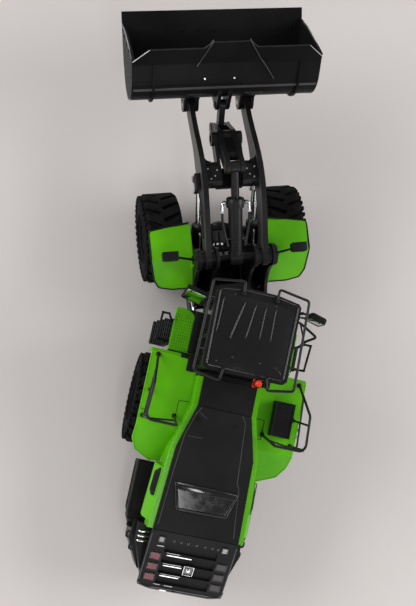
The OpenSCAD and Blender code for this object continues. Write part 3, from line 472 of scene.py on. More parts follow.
# %% Copying and placing
def copied(piece, moves):
    made = []
    for move in moves:
        only(piece)
        bpy.ops.object.duplicate(linked=False)
        twin = bpy.context.object
        twin.matrix_world = move @ piece.matrix_world
        settle()
        made.append(twin)
    bpy.data.objects.remove(piece)
    return joined(*made)


def joined(*pieces):
    only(*pieces)
    if len(pieces) > 1:
        bpy.ops.object.join()
    return bpy.context.object


def both_sides(piece):
    only(piece)
    settle()
    bpy.ops.object.duplicate(linked=False)
    twin = bpy.context.object
    twin.scale = (-1, 1, 1)
    settle()
    return joined(piece, faced_out(twin))


def placed(piece, matrix):
    piece.matrix_world = matrix
    only(piece)
    settle()
    return piece


def mount(piece, name, place, body, look, smooth):
    only(piece)
    piece.name = name
    piece.matrix_world = place @ piece.matrix_world
    settle()
    bpy.ops.object.shade_smooth_by_angle(angle=math.radians(smooth))
    piece.data.materials.clear()
    piece.data.materials.append(looks[look])
    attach(piece, body)
    print(name, len(piece.data.polygons), "faces")
    return piece


def at(x, y, z, *turns):
    move = shift(x, y, z)
    for axis, degrees in turns:
        move = move @ turn(axis, degrees)
    return move


def at_height(height, *spots):
    """Points that all lie at one height."""
    return [(x, y, height) for x, y in spots]


def hung_on(body, place):
    """A mount for one region: its pieces share a body and a local frame."""
    return lambda piece, name, look, smooth=35: mount(piece, name, place, body, look, smooth)


on_rear, on_hood, on_panel = (hung_on("rear_frame", place) for place in (REAR, HOOD, PANEL))
on_front, on_bucket = hung_on("front_frame", FRONT), hung_on("bucket", BUCKET)
on_boom, on_rocker = hung_on("boom", BOOM), hung_on("rocker", BOOM)
on_tilt, on_lift = hung_on("tilt_barrel", TILT), hung_on("lift_barrels", LIFT)

# %% [markdown]
# # Rear body
# The hood top is one moulding with a raised line along each side and small creases near its front corners.
# Each line is a thin pipe sunk half into the surface, which reads as a rounded bead pressed out of the
# plastic.

# %% Hood beads
lines = (
    (0.34, (11.0, -0.6), (13.9, -4.8), (17.3, -42), (18.8, -43.6), (22.6, -74)),
    (0.34, (-14.0, -0.6), (-16.6, -4.8), (-20.7, -18.6), (-22.6, -43), (-24.2, -74)),
    (0.3, (-14.9, -3.9), (-9.6, -6.8)),
    (0.3, (-18.7, -19), (-9.6, -18.6)),
)
beads = [pipe(at_height(0, *line), thick) for thick, *line in lines]
# The beads take a lighter grey than the black hood: painted highlight along their crests.
on_hood(joined(*beads), "hood_beads", "grey_plastic")

# %% [markdown]
# Two quarter-turn latches hold the hood's service flap. A latch is turned in steps: a flange, a raised
# disc, then a slot cut by insetting its top face and pushing the inner face down.

# %% Hood latches
latch = turned([(1.5, -0.2), (1.5, 0.25), (1.15, 0.3), (1.1, 0.55), (0.8, 0.6)])
sunk(latch, lambda c, n: n.z > 0.9 and c.z > 0.55, (0.15, -0.25))
on_hood(copied(latch, [at(-14.6, -8.3, 0), at(8.6, -8.2, 0)]), "hood_latches", "black_plastic")

# %% [markdown]
# The window sits in a raised frame with a broad bevelled lip in front of it. The frame is a closed bead
# around the glass with a finer one inside it. The lip is a flat bar with rounded upper edges. Like the
# glass it is polished, so both mirror the small lamp behind the machine.

# %% Window frame and lip
corners = [(-19.6, -47.3), (19.8, -47.6), (15.2, -62.6), (-15.8, -63.0)]
ring = pipe(at_height(0.3, *corners), 0.5, closed=True)
inner = pipe([(0.9 * x, -56.6 + 0.72 * (y + 55), 0.8) for x, y in corners], 0.25, closed=True)
on_hood(joined(ring, inner), "window_frame", "gloss_black")
lip = block((-18.3, -51.4, -0.5), (18.5, -47.8, 0.95), soft=0)
edit(lip, "EDGE", lambda c, d: c.z > 0.9)
bpy.ops.mesh.bevel(offset=0.45, segments=3, affect="EDGES")
leave()
on_hood(lip, "window_lip", "gloss_black")
on_hood(pipe([(-12.6, -64.2, 0.1), (-0.6, -64.8, 0.1)], 0.3), "window_step", "black_plastic")

# %% [markdown]
# Below the hood's edge each flank bulges out, and a long six-cornered vent is let into the bulge. The bulge
# is a cut plate as long as the vent. The vent is a black plate with upright ribs on its sloping face, with
# a bead around it.

# %% Hood flanks and vents
ALONG = shift(-28.0, -40.8, 0) @ turn("Z", -2.77)
flank = cut_plate([(1.4, -2.7), (0, -2.7), (-3.9, -12.0), (-4.2, -18.0), (1.4, -22)], 33.2, soft=0.6)
on_hood(both_sides(placed(flank, ALONG @ turn("X", 90))), "hood_flanks", "lime_plastic")
SLOPE = ALONG @ shift(0, 0, -2.7) @ turn("Y", 112.75) @ turn("X", 180)
hexagon = [(0.9, 1.4), (2.6, 0.2), (8.6, 4.2), (9.0, 16.2), (5.6, 19.0), (1.3, 18.2)]
rib = block((1.6, -0.22, 0.3), (8.4, 0.22, 0.9), soft=0.1)
ribs = copied(rib, [at(0, 4.6 + 1.2 * i, 0) for i in range(10)])
plate = joined(cut_plate(hexagon, 0.5, soft=0.12), ribs)
bead = pipe(at_height(0.2, *hexagon), 0.42, closed=True)
on_hood(both_sides(placed(plate, SLOPE)), "hood_vents", "black_plastic")
on_hood(both_sides(placed(bead, SLOPE)), "vent_beads", "lime_plastic")

# %% [markdown]
# The rear panel is the busiest part of the body. Under its top edge runs a row of small studs, each a low
# dome turned in three steps. They are made in the panel's own slanting frame, where the surface is at
# height zero.

# %% Panel studs
stud = turned([(0.95, -0.2), (0.95, 0.15), (0.7, 0.45), (0.35, 0.55)], 16)
places = [at(x, 34.4, 0) for x in (-11.8, -7.6, -3.2, 2.1, 7.3, 11.6, 15.4)]
on_panel(copied(stud, places), "panel_studs", "gloss_black")

# %% [markdown]
# The left part of each louvre's lip carries a painted highlight in bright metal, the glint of light on the
# glossy lips: a broad strip low on the slope and a hairline on the land above it. A strip is a thin block
# with rounded edges, and a bezel is a closed pipe around an oblong. A blank plate with a bezel and a plain
# stud sits beside them.

# %% Louvre highlight strips and badge plate
def strips(spans, half, low, high):
    return joined(*[block((x0, a - half, low), (x1, a + half, high), soft=0.12) for x0, x1, a in spans])


def bezel(x0, x1, a0, a1, high, thick):
    return pipe(at_height(high, (x0, a0), (x1, a0), (x1, a1), (x0, a1)), thick, closed=True)


# Painted highlight: these bright strips stand where light glints on the left of the glossy louvre lips.
broad = strips([(-14.0, 1.6, 23.9), (-14.5, -2.9, 16.4), (-14.8, -3.0, 8.8)], 0.42, -0.9, -0.05)
fine = strips([(-14.6, -6.0, 25.7), (-14.8, -3.6, 18.0), (-14.5, -2.0, 10.3)], 0.22, -0.5, 0.2)
on_panel(broad, "louvre_trim", "bright_rod")
low = strips([(-17.1, -12.8, 2.3), (-10.3, -5.0, 2.3), (-21.6, -16.9, 29.7)], 0.25, -0.5, 0.22)
on_panel(joined(fine, low), "louvre_hairlines", "pin_steel")
badge = block((-1.9, 12.2, -1.2), (4.9, 19.2, 0.45), soft=0.35)
sunk(badge, lambda c, n: n.z > 0.9, (0.7, 0), (0.25, -0.35))
on_panel(badge, "badge_plate", "gloss_black")
stud = placed(turned([(1.5, 0.0), (1.5, 0.4), (1.2, 0.7), (0.5, 0.85)]), at(1.5, 15.7, 0))
on_panel(joined(bezel(-1.5, 4.5, 12.6, 18.8, 0.45, 0.24), stud), "badge_frame", "bright_rod")

# %% [markdown]
# Small work lamps sit in the panel's upper corners and three red lamps down each edge. Each has a bezel
# around it that stands a little proud of the lens.

# %% Lamp bezels
rings = [bezel(17.7, 21.5, 32.5, 36.5, 0.3, 0.35)]
rings += [bezel(17.5, 23.9, 4.6 + 7.65 * i, 9.4 + 7.65 * i, 0.25, 0.28) for i in range(3)]
on_panel(both_sides(joined(*rings)), "panel_bezels", "gloss_black")

# %% [markdown]
# A lip runs along the panel's lower edge like a bumper, cranked at its ends. Two clips sit on it, one of
# them plated.

# %% Bumper lip
crank = [(-26.3, 2.2, -0.3), (-26.0, 0.8, -0.3), (-19.4, -0.9, -0.2), (19.2, -0.9, -0.2),
         (25.8, 0.9, -0.3), (26.3, 4.0, -0.3)]
lip = joined(pipe(crank, 0.85), block((-19.6, -1.0, -1.4), (19.4, 0.6, 0.3)))
edges = both_sides(pipe([(26.2, 3.5, -0.3), (26.2, 37.6, -0.3)], 0.45))
on_panel(joined(lip, edges), "bumper_lip", "gloss_black")
on_panel(block((-12.7, -1.5, -0.2), (-8.1, -0.5, 0.85), soft=0.25), "bumper_clip", "bright_rod")
on_panel(block((-5.0, -1.2, -0.2), (-2.2, -0.3, 0.8), soft=0.25), "bumper_stop", "edge_steel")

# %% [markdown]
# Beside the panel three bright pipes cross the left shoulder of the counterweight, and three loops stand
# off each flank. A loop is a pipe bent in a U whose feet are buried in the casting.

# %% Counterweight pipes and loops
pipes = [pipe([(-32.0, y, 48.9), (-31.4, y, 50.3), (-25.4, y + 0.3, 50.3), (-24.8, y + 0.3, 48.9)], 0.75)
         for y in (-139.2, -142.1, -144.9)]
on_rear(joined(*pipes), "shoulder_pipes", "bright_rod")
loops = [pipe([(31, y, z), (38.2 - d, y, z), (38.2 - d, y - 3.8, z - 1), (28, y - 3.8, z - 1)], 0.7)
         for y, z, d in ((-135.5, 35, 0), (-142.5, 34, 1.0), (-149.6, 33, 4.4))]
on_rear(both_sides(joined(*loops)), "lifting_loops", "black_paint")

# %% [markdown]
# The boxes beside the hood hold batteries. Their lids are rounded blocks with a sunk field, and a rail runs
# along each lower edge. A plate behind each box leads its line inwards, and short bars make the louvres on
# its side. Rounded lids matter, since a razor edge is what gives a plain solid away.

# %% Side box lids
lid = block((14.2, -131.3, 31.5), (39.9, -97.7, 33.0), soft=0.7, steps=3)
sunk(lid, lambda c, n: n.z > 0.9, (1.6, 0), (0.4, -0.35))
sill = pipe(at_height(18.6, (39.2, -98.2), (39.5, -99.5), (39.5, -129.6), (38.6, -130.8)), 0.7)
outline = [(26.0, -130.6), (39.4, -130.6), (39.2, -134.4), (36.8, -139.4), (26.0, -141.0)]
tail = placed(cut_plate(outline, 14.2, soft=0.6), shift(0, 0, 18.4))
on_rear(both_sides(joined(lid, sill, tail)), "side_box_lids", "black_plastic")
grille_bar = block((38.9, -126.6, -0.35), (39.5, -116.4, 0.35), soft=0.1)
bars = copied(grille_bar, [at(0, dy, z) for dy in (0, 14) for z in (22.4, 24.2, 26.0, 27.8)])
on_rear(both_sides(bars), "side_box_louvres", "grey_plastic")

# %% [markdown]
# The rear fenders are smooth shells, and what breaks them up is thin: dark seams around a hatch near the
# hood, and a rolled rim along the outer edge. Seams are hair-thin pipes laid flush with the top, at the
# fender's height.

# %% Fender seams and lips
FENDER_TOP = 66.52
hatches = (
    ((20.8, -57.6), (27.8, -57.9), (27.8, -69.6), (22.2, -70.0)),
    ((-20.4, -56.4), (-27.0, -56.8), (-27.4, -69.0)),
    ((-49.0, -66.0), (-45.8, -66.4)),
)
seams = [pipe(at_height(FENDER_TOP, *hatch), 0.17) for hatch in hatches]
on_rear(joined(*seams), "fender_seams", "black_plastic")
edge = [(49.3, -27.7, 47.5), (49.3, -28.5, 63.8), (49.3, -30.4, 66.2), (49.3, -76.0, 66.2),
        (49.2, -83.6, 58.1), (45.8, -90.6, 50.6), (34.0, -96.4, 44.4)]
on_rear(both_sides(pipe(edge, 0.5)), "fender_rim_rear", "lime_plastic")

# %% [markdown]
# The platform beside the cab has a tread of raised dots. One dot is a flat block with soft edges, and rows
# of copies cover a thin cover plate, whose front corner is cut off where the ladder's handle passes. Kick
# plates border it.

# %% Platform tread
outline = [(22.3, -26.7), (39.2, -26.7), (39.3, -0.8), (38.6, -0.2), (33.0, -0.2), (28.8, -2.0),
           (26.8, -4.6), (22.3, -4.8)]
cover = placed(cut_plate(outline, 0.4, soft=0.12), shift(0, 0, 59.9))
dot = block((-0.5, -0.65, 60.2), (0.5, 0.65, 60.65), soft=0.12, steps=1)
places = [(28.4 + 1.5 * i, -25.6 + 1.85 * j) for i in range(8) for j in range(13 if i > 2 else 11)]
dots = copied(dot, [at(x, y, 0) for x, y in places])
# The plate between the dots takes the darker green, painted shade.
on_rear(both_sides(cover), "platform_cover", "lime_groove", smooth=20)
on_rear(both_sides(dots), "platform_tread", "lime_plastic", smooth=20)
outline = [(26.0, -0.1), (33.0, -0.1), (31.0, -0.7), (29.0, -2.0), (27.8, -3.6), (27.2, -5.4), (26.0, -5.4)]
corner = placed(cut_plate(outline, 0.9), shift(0, 0, 59.8))
plates = (((22.1, -26.8, 59.6), (27.4, -0.3, 61.4), 0.5), ((22.1, -38.2, 66.1), (26.8, -27.9, 67.6), 0.5),
          ((26.4, -30.8, 66.2), (31.6, -27.9, 67.2), 0.4), ((22.1, -28.2, 56.2), (39.4, -26.6, 59.4), 0.3))
step = joined(corner, *[block(*plate) for plate in plates])
on_rear(both_sides(step), "cab_kick_plates", "black_plastic")

# %% [markdown]
# The front fenders have a heavier rubber trim that runs down the outer edge and across the front. It is the
# same pipe, thicker, and its corners follow the plan of the fender. Bolts hold the fender. A bolt head or a
# nut is turned with six sides and a chamfer, and the helper made here serves the rest of the machine.

# %% Front fender trim
def head(foot, shoulder, top, wide, tip, facets=6):
    """A bolt head or nut: straight up to the shoulder, then chamfered."""
    return turned([(wide, foot), (wide, shoulder), (tip, top)], facets)


edge = [(25.6, 64.2, 62.2), (50.6, 60.3, 62.2), (51.2, 58.6, 62.2), (51.3, 42.6, 62.1), (49.5, 30.6, 52.3),
        (46.4, 26.3, 48.6), (38.0, 24.7, 47.3), (25.6, 24.7, 47.3)]
on_front(both_sides(pipe(edge, 0.55)), "fender_trim_front", "black_plastic")
spots = ((38, 57), (43, 57), (38, 50.5), (43, 50.5))
bolts = copied(head(-0.4, 0.35, 0.5, 0.9, 0.7), [at(25.0, y, z, ("Y", 90)) for y, z in spots])
on_front(both_sides(bolts), "fender_bolts", "pin_steel", smooth=20)

# %% [markdown]
# The lamps on the front fenders look ahead, so their lenses are on the front faces. A lens is a thin plate
# with rounded edges. Its dark shell is a brow above it, a cheek on each side and a row of fins behind.

# %% Work lamp lenses
lens_plate = block((36.9, 43.2, 71.6), (44.7, 43.9, 75.0), steps=3)
on_front(both_sides(lens_plate), "work_lamp_lenses", "lamp_clear")
brow = block((35.9, 39.2, 75.4), (45.7, 44.7, 76.2), soft=0.35, steps=3)
cheek = placed(both_sides(block((-5.0, 39.4, 71.2), (-4.4, 44.3, 75.8), soft=0.2)), at(40.8, 0, 0))
fin = block((-0.2, 38.9, 71.4), (0.2, 40.0, 75.4), soft=0.08)
fins = copied(fin, [at(37.2 + 1.2 * i, 0, 0) for i in range(7)])
on_front(both_sides(joined(brow, cheek, fins)), "work_lamp_shells", "black_plastic", smooth=25)

# %% [markdown]
# The box on the right fender has a ribbed lid. One rib is a soft block, and eleven copies cover the lid.

# %% Ribbed lid of the fender box
cover = block((32.4, -65.2, 72.2), (42.6, -45.3, 74.2), soft=0.5, steps=3)
rib = block((33.2, -0.45, 74.0), (41.8, 0.45, 74.7), soft=0.2)
cover = joined(cover, copied(rib, [at(0, -47.2 - 1.62 * i, 0) for i in range(11)]))
on_rear(cover, "fender_box_lid", "black_plastic")

# %% [markdown]
# # Cab
# The roof is a shallow crown inside a rim. A grid is laid out, its points are lifted in a dome in code, and
# Solidify gives it a wall. Raised beads run front to rear, and small caps cover its bolts.

# %% Roof crown
only()
bpy.ops.mesh.primitive_grid_add(x_subdivisions=16, y_subdivisions=24, size=1)
crown = bpy.context.object
for spot in crown.data.vertices:
    across, along = 2 * spot.co.x, 2 * spot.co.y
    lift = 1.15 * (1 - abs(across) ** 4) * (1 - abs(along) ** 4)
    spot.co = (21.9 * across, -12.9 + (21.3 - 1.0 * across ** 2 * (along > 0)) * along, 112.75 + lift)
modified(crown, "SOLIDIFY", thickness=0.7, offset=-1)
on_rear(crown, "roof_crown", "gloss_black", smooth=50)
runs = ((-8.2, -12.3, -17.7, 0.5), (-1.5, -3.6, -16, 0.34), (4.7, 4.2, -15, 0.3), (10.6, 10.6, -15, 0.3))
beads = [pipe([(x0, 4.0, 113.5), (x0 - 0.2, 2.4, 113.85), (x1, y1 + 2, 113.95), (x1, y1, 113.6)], thick)
         for x0, x1, y1, thick in runs]
left_bead = [(-20.3, 4.6, 113.0), (-20.6, 3.4, 113.3), (-20.9, -13.8, 113.3), (-20.9, -15, 113.0)]
rear_bead = [(16.4, -28.4, 113.3), (16.8, -28.7, 113.7), (20.4, -31.4, 113.4), (20.8, -31.7, 113.0)]
beads += [pipe(left_bead, 0.34), pipe(rear_bead, 0.34)]
on_rear(joined(*beads), "roof_beads", "gloss_black")
eaves = at_height(112.9, (-22.7, -34.8), (-23.4, 8.2), (-21.8, 9.6), (-9.6, 11.4), (9.6, 11.4), (21.8, 9.6),
                  (23.4, 8.2), (22.7, -34.8))
rim = pipe(eaves, 0.55, closed=True)
on_rear(rim, "roof_rim", "gloss_black")
cap = turned([(0.6, -0.3), (0.6, 0.2), (0.45, 0.4), (0.2, 0.45)], 16)
spots = at_height(113.1, (-14.6, 7.6), (-17.6, -31.8), (10.2, 6.0))
spots += at_height(113.6, (-9.0, -28.0), (7.3, -27.9))
on_rear(copied(cap, [at(*s) for s in spots]), "roof_caps", "grey_plastic")

# %% [markdown]
# The solid rails come with ball joints at their corners. A real rail is one tube bent round a former, so
# each is built again as a pipe along the same line, with rounded corners, and takes the place of the solid
# one.

# %% Bent rails
RAIL, THIN_RAIL, ROOF_RAIL_HEIGHT, HANDRAIL_TOP = 0.8, 0.64, 114.3, 97
bends = ((10.1, 12), (10.2, 16), (28.6, 13.2), (29.6, -39.6), (14, -42.4), (13.2, -37.4))
roof_line = [(10, 9, 114.0), *at_height(ROOF_RAIL_HEIGHT, *bends), (13, -35.4, 114.0)]
feet = [block((x - 1.2, y - 0.9, 112.9), (x + 1.2, y + 0.9, 114.9), soft=0.35)
        for x, y in ((10, 9), (13, -35.4))]
clamps = []
for y, x in ((3.1, 28.8), (-26.6, 29.3)):
    clamps += [pipe([(24.4, y, 111.6), (26.4, y, 113.6), (x, y, ROOF_RAIL_HEIGHT)], 0.6),
               block((23.8, y - 1.4, 110.2), (25.4, y + 1.4, 112.8), soft=0.25)]
rails = on_rear(both_sides(joined(pipe(roof_line, RAIL), *feet, *clamps)), "roof_rail_tubes", "black_paint")
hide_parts("roof_rails")
stands = ((45.4, -32), (28, -66.6), (45.4, -54), (46.8, -70))
top = at_height(HANDRAIL_TOP, (47.2, -50.5), (48, -68.7), (45.8, -71.6), (29.6, -71.7))
tubes = (
    ([(45.4, -32, 67.3), *top, (28, -66.6, 67.3)], RAIL),
    ([(46.1, -39.4, 79), (47.5, -69.6, 80), (45.9, -71.2, 80), (28.9, -69.2, 82)], THIN_RAIL),
    ([(45.4, -54, 67.3), (47.4, -56, HANDRAIL_TOP)], THIN_RAIL),
    ([(46.8, -70, 67.3), (46.6, -70.8, HANDRAIL_TOP)], RAIL),
)
for side, sign in (("left", -1), ("right", 1)):
    parts = [pipe([(sign * x, y, z) for x, y, z in line], thick) for line, thick in tubes]
    foot = turned([(1.5, 66.4), (1.5, 67.3), (1.2, 67.7), (0.8, 67.8)], 16)
    parts.append(copied(foot, [at(sign * x, y, 0) for x, y in stands]))
    rail = on_rear(joined(*parts), "handrail_tubes_" + side, "black_paint")
    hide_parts("handrail_" + side)

# %% [markdown]
# On the right of the cab a bent tube carries the mirror and protects it. It starts and ends on the cab's
# pillars.

# %% Side bracket
BRACKET_HEIGHT = 92
bends = ((21.6, 6.2), (33.1, 2.2), (43.2, -3.4), (36.7, -7.4), (33.2, -11.8), (21.4, -15.8))
tube = pipe(at_height(BRACKET_HEIGHT, *bends), RAIL)
brace = pipe(at_height(BRACKET_HEIGHT, (31.8, 2.7), (36.0, -7.6)), 0.55)
plates = [block((21.4, y - 1.6, 90.2), (22.7, y + 1.6, 93.8)) for y in (6.2, -15.8)]
on_rear(joined(tube, brace, *plates), "side_bracket", "black_paint")

# %% [markdown]
# A black block closes the gap between the cab's back wall and the hood, so that no daylight shows between
# them. Its black is painted shade, for the wall that lies in shadow in that narrow gap.

# %% Cab gap block
gap_block = block((-16.4, -40.5, 62.0), (16.4, -36.4, 77.4), soft=0.5)
on_rear(gap_block, "cab_seal", "black_plastic")

# %% [markdown]
# The beacon is a red dome with upright flutes on a rubber ring. The flutes are thin blocks copied round the
# dome.

# %% Beacon
flute = block((1.5, -0.17, 112.2), (1.98, 0.17, 115.2), soft=0.08)
flutes = copied(flute, [at(8.6, -39.4, 0, ("Z", 30 * i)) for i in range(12)])
on_rear(flutes, "beacon_flutes", "beacon_orange")
ring = turned([(2.5, 111.2), (2.5, 111.7), (2.2, 112.1), (1.7, 112.1)], 32)
on_rear(placed(ring, at(8.6, -39.4, 0)), "beacon_ring", "black_plastic")

# %% [markdown]
# The mirrors differ. The left one is large and tipped, so its glass shows from above; the right one is
# turned away and shows a rounded housing. Each is built upright in its own frame, and one matrix tips it
# into place.

# %% Mirrors
def mirror(side, place, glass, lip, hull, **edges):
    glass, hull = block(*glass, soft=0.25, steps=3), block(*hull, **edges)
    wide, high, out = lip
    lip = pipe([(0.3, out, 0.4), (wide, out, 0.4), (wide, out, high), (0.3, out, high)], 0.5, closed=True)
    for piece in (glass, lip, hull):
        faced_out(placed(piece, place))
    on_rear(glass, "mirror_glass_" + side, "mirror_glass")
    on_rear(joined(lip, hull), "mirror_shell_" + side, "black_plastic")


place = Matrix.Scale(-1, 4, (1, 0, 0)) @ at(28.2, 0.4, 85, ("Z", 12), ("X", -16))
mirror("left", place, ((0.9, -0.3, 1.0), (12.7, 0.3, 14.4)), (13.3, 15.0, 0.0),
       ((0.2, 0.6, 0.2), (13.4, 2.7, 15.2)), soft=1.0, steps=3)
place = at(34.5, 6.5, 87.5, ("Z", -14))
mirror("right", place, ((0.8, -0.3, 0.8), (9.2, 0.3, 12.6)), (9.7, 13.0, 0.1),
       ((-0.2, 0.4, -0.2), (10.2, 3.7, 13.8)), soft=1.55, steps=4)

# %% [markdown]
# Doors are only suggested on a toy: a seam, a handle and hinges. The wipers lie on the bowed screen.

# %% Doors and wipers
DOOR_FACE = 22.05
corners = ((4.6, 62.6), (4.6, 105.6), (-13.6, 105.6), (-13.6, 62.6))
seam = pipe([(DOOR_FACE, y, z) for y, z in corners], 0.25, closed=True)
handle = pipe([(21.8, -11.8, 78), (23.3, -11.8, 78.6), (23.3, -11.8, 83.4), (21.8, -11.8, 84)], 0.45)
hinges = [block((21.6, 4.2, z), (22.9, 6.2, z + 3)) for z in (68, 98)]
bar = pipe([(22.6, -18.5, 74), (24.6, -18.5, 75), (24.6, -18.5, 97), (22.0, -18.5, 98)], 0.5)
on_rear(both_sides(joined(seam, handle, *hinges, bar)), "door_fittings", "black_plastic")
arm = pipe([(0.5, 13.3, 62.0), (0.5, 14.2, 63.0), (-7.5, 13.5, 80.0)], 0.35)
blade = pipe([(-12.5, 12.3, 76.0), (-8.0, 13.4, 80.5), (-3.5, 13.9, 85.0)], 0.35)
on_rear(both_sides(joined(arm, blade)), "wipers", "black_plastic")

# %% [markdown]
# The driver's seat is padded, so it can't stay a box. A cushion starts as a soft block, is cut finer, and
# its points are pushed out from the middle, which crowns the top and leaves the corners pulled in. The back
# is made likewise.

# %% Seat cushions
def cushion(low, high, crown, axis):
    piece = block(low, high, soft=1.1, steps=4)
    edit(piece)
    bpy.ops.mesh.subdivide(number_cuts=3)
    leave()
    middle = [(a + b) / 2 for a, b in zip(low, high)]
    half = [(b - a) / 2 for a, b in zip(low, high)]
    for spot in piece.data.vertices:
        part = [(spot.co[i] - middle[i]) / half[i] for i in range(3)]
        others = [abs(part[i]) for i in range(3) if i != axis]
        spot.co[axis] += crown * part[axis] * (1 - others[0] ** 2) * (1 - others[1] ** 2)
    return modified(piece, "SUBSURF", levels=1, render_levels=1)


base = cushion((-7, -24.6, 66), (7, -12, 69.4), 0.7, 2)
back = cushion((-6.5, -28.6, 68.6), (6.5, -25.2, 84), 0.8, 1)
headrest = cushion((-4, -28.4, 84.2), (4, -26, 87.6), 0.5, 1)
for piece, name in ((base, "seat_cushion"), (back, "seat_back"), (headrest, "seat_headrest")):
    on_rear(piece, name, "seat_cloth", smooth=60)
folds = [(5.2, 60), (5.6, 61), (4.6, 61.8), (5.4, 62.8), (4.6, 63.6), (5.4, 64.6), (4.8, 65.4), (6.2, 66),
         (6.2, 66.6)]
bellows = placed(turned(folds), at(0, -19, 0))
rests = both_sides(block((7.2, -25, 73), (9.4, -15, 74.6), soft=0.6, steps=3))
brackets = both_sides(pipe(at_height(73.6, (8.3, -24), (8.3, -26.6), (6, -27.4)), 0.6))
shell = joined(bellows, rests, brackets)
on_rear(shell, "seat_suspension", "grey_plastic")
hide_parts("operator_seat")

# %% [markdown]
# A control stand with two levers fills the space beside the seat, and a dashboard hood sits on the column.

# %% Controls
stand = block((10.2, -24, 60), (15.6, -9, 71), soft=0.8, steps=3)
knob = turned([(0.5, 70.6), (0.5, 74.5), (1.1, 75.2), (1.3, 76.4), (0.8, 77.4), (0.3, 77.6)], 16)
knobs = copied(knob, [at(12.9, -12, 0), at(12.9, -16, 0)])
dash = block((-4.6, 2.4, 70.5), (4.6, 6.2, 76.5), soft=0.9, steps=3)
sunk(dash, lambda c, n: n.y < -0.9, (0.7, -0.5))
stem = pipe([(0, 5.0, 60), (0, 4.6, 72)], 1.3)
on_rear(joined(stand, knobs, dash, stem), "cab_controls", "grey_plastic")

# %% [markdown]
# # Front frame
# A valve block feeds the cylinders. It is a stack of blocks with turned fittings, and rubber hoses loop
# from it to the bulkhead. A hose is a smooth curve through a few points: a hanging hose never has a corner.

# %% Valve block and hoses
valve = block((-9, 52.6, 40.4), (1.6, 61, 45.4), soft=0.35)
caps = block((-8.2, 53.6, 45.2), (-4.6, 60, 47.4)), block((-3.4, 53.6, 45.2), (0.6, 60, 46.8))
on_front(joined(valve, *caps), "valve_block", "grey_plastic")
nut = turned([(1.15, 0), (1.15, 1.0), (0.95, 1.2), (0.95, 2.0), (0.75, 2.2)], 6)
ends = [at(x, 53.4, 44.2, ("X", 90)) for x in (-7.6, -4.6, -1.6)]
ends += [at(x, 16.4, 44.4, ("X", -90)) for x in (-8, -5, 5, 8)]
on_front(copied(nut, ends + [at(5, 58, 40.6), at(8.4, 58, 40.6)]), "hose_nuts", "pin_steel", smooth=20)
routes = (
    [(-7.6, 52, 44.2), (-7.6, 46, 44), (-9.6, 36, 39), (-9.6, 27, 41), (-8, 21, 44.4), (-8, 18, 44.4)],
    [(-4.6, 52, 44.2), (-4.6, 45, 44), (-5.8, 35, 36), (-5.8, 26, 38), (-5, 21, 44.4), (-5, 18, 44.4)],
    [(-1.6, 52, 44.2), (-1.6, 44, 44), (2.6, 34, 37), (5.2, 26, 40), (5, 21, 44.4), (5, 18, 44.4)],
    [(8.4, 58, 42), (8.6, 58, 47), (9.6, 50, 50), (9.4, 36, 42), (8.2, 24, 44), (8, 18, 44.4)],
    [(5, 58, 42), (5, 58, 46), (5.4, 52, 49), (6.6, 42, 44), (10.6, 34, 34), (11.4, 30, 26)],
)
hoses = [pipe(route, 0.85, smooth=True) for route in routes]
on_front(joined(*hoses), "frame_hoses", "hose_rubber", smooth=60)

# %% [markdown]
# Big pins are held by a ring of bolts and a keeper plate on the outside of each tower.

# %% Pin keepers
ring = turned([(6.6, 0), (6.6, 0.9), (5.9, 1.3), (4.2, 1.3)], 40)
circle = [turn("Z", 60 * i + 15) @ shift(5.1, 0, 0) for i in range(6)]
screws = copied(head(1.0, 1.7, 1.9, 0.75, 0.55), circle)
keeper = joined(ring, screws)
low_ring = turned([(4.4, 0), (4.4, 0.8), (3.9, 1.1), (2.8, 1.1)], 32)
placed(keeper, at(24.3, 38.7, 73, ("Y", 90)))
placed(low_ring, at(24.3, 26.6, 24.5, ("Y", 90)))
on_front(both_sides(joined(keeper, low_ring)), "pin_keepers", "black_paint")

# %% [markdown]
# # Boom
# The boom arms are cut from thick plate. Light rakes along their flat sides, so the sides get a painted
# highlight, a lighter satin than the edges. Only the finish of those faces changes; the mesh stays as it is.
# The tilt rod and the front pins are painted, and the bucket has a deeper black of its own.

# %% Painted highlight on the flat sides
def paint_highlight_on_sides(name, axis, keep=lambda centre: True):
    node = frame["nodes"][name]
    node.data.materials.append(looks["arm_side"])
    count = 0
    for face in node.data.polygons:
        if abs(face.normal.dot(axis)) > 0.95 and keep(face.center):
            face.material_index = 1
            count += 1
    print(name, "lighter faces:", count)


across = Vector((1, 0, 0))
for name in ("boom_arm_left", "boom_arm_right"):
    paint_highlight_on_sides(name, across)
darker = {"black_paint": ("tilt_rod", "front_pins"), "bucket_black": ("bucket", "cutting_edge")}
for look, names in darker.items():
    for name in names:
        frame["nodes"][name].data.materials[0] = looks[look]

# %% [markdown]
# Bright bolt heads stand on the cross beam, and a cover with a cable is bolted to the sensor on the left
# arm.

# %% Beam bolts and sensor
spots = at_height(17.4, (9.4, 50.8), (10.8, 47.2), (14.2, 51.8), (-9.2, 50.8), (-10.8, 47.2), (-14.8, 51.8),
                  (-13.4, 45.4), (13.4, 45.4))
bolts = copied(head(0, 0.55, 0.8, 0.75, 0.55), [at(*s) for s in spots])
on_boom(bolts, "beam_bolts", "bright_rod", smooth=20)
cover = block((-22.6, 40.8, 8.8), (-21.8, 50.7, 15.2))
sunk(cover, lambda c, n: n.x < -0.9, (0.8, -0.25))
flap = block((-22.0, 41.2, 14.9), (-19.6, 50.2, 15.5), soft=0.2)
on_boom(joined(cover, flap), "sensor_cover", "black_plastic")
cable = [(-20.6, 41, 12), (-20.9, 37, 12.6), (-20.2, 30, 12), (-20.1, 18, 7.5), (-20.0, 12, 4.5)]
on_boom(pipe(cable, 0.45, smooth=True), "sensor_cable", "hose_rubber", smooth=60)

# %% [markdown]
# The rocker is a heavy casting with ribs along its cheeks. Each rib is a soft block laid between two
# points, with its height along the third direction. The same helper makes the gussets of the bucket later
# on.

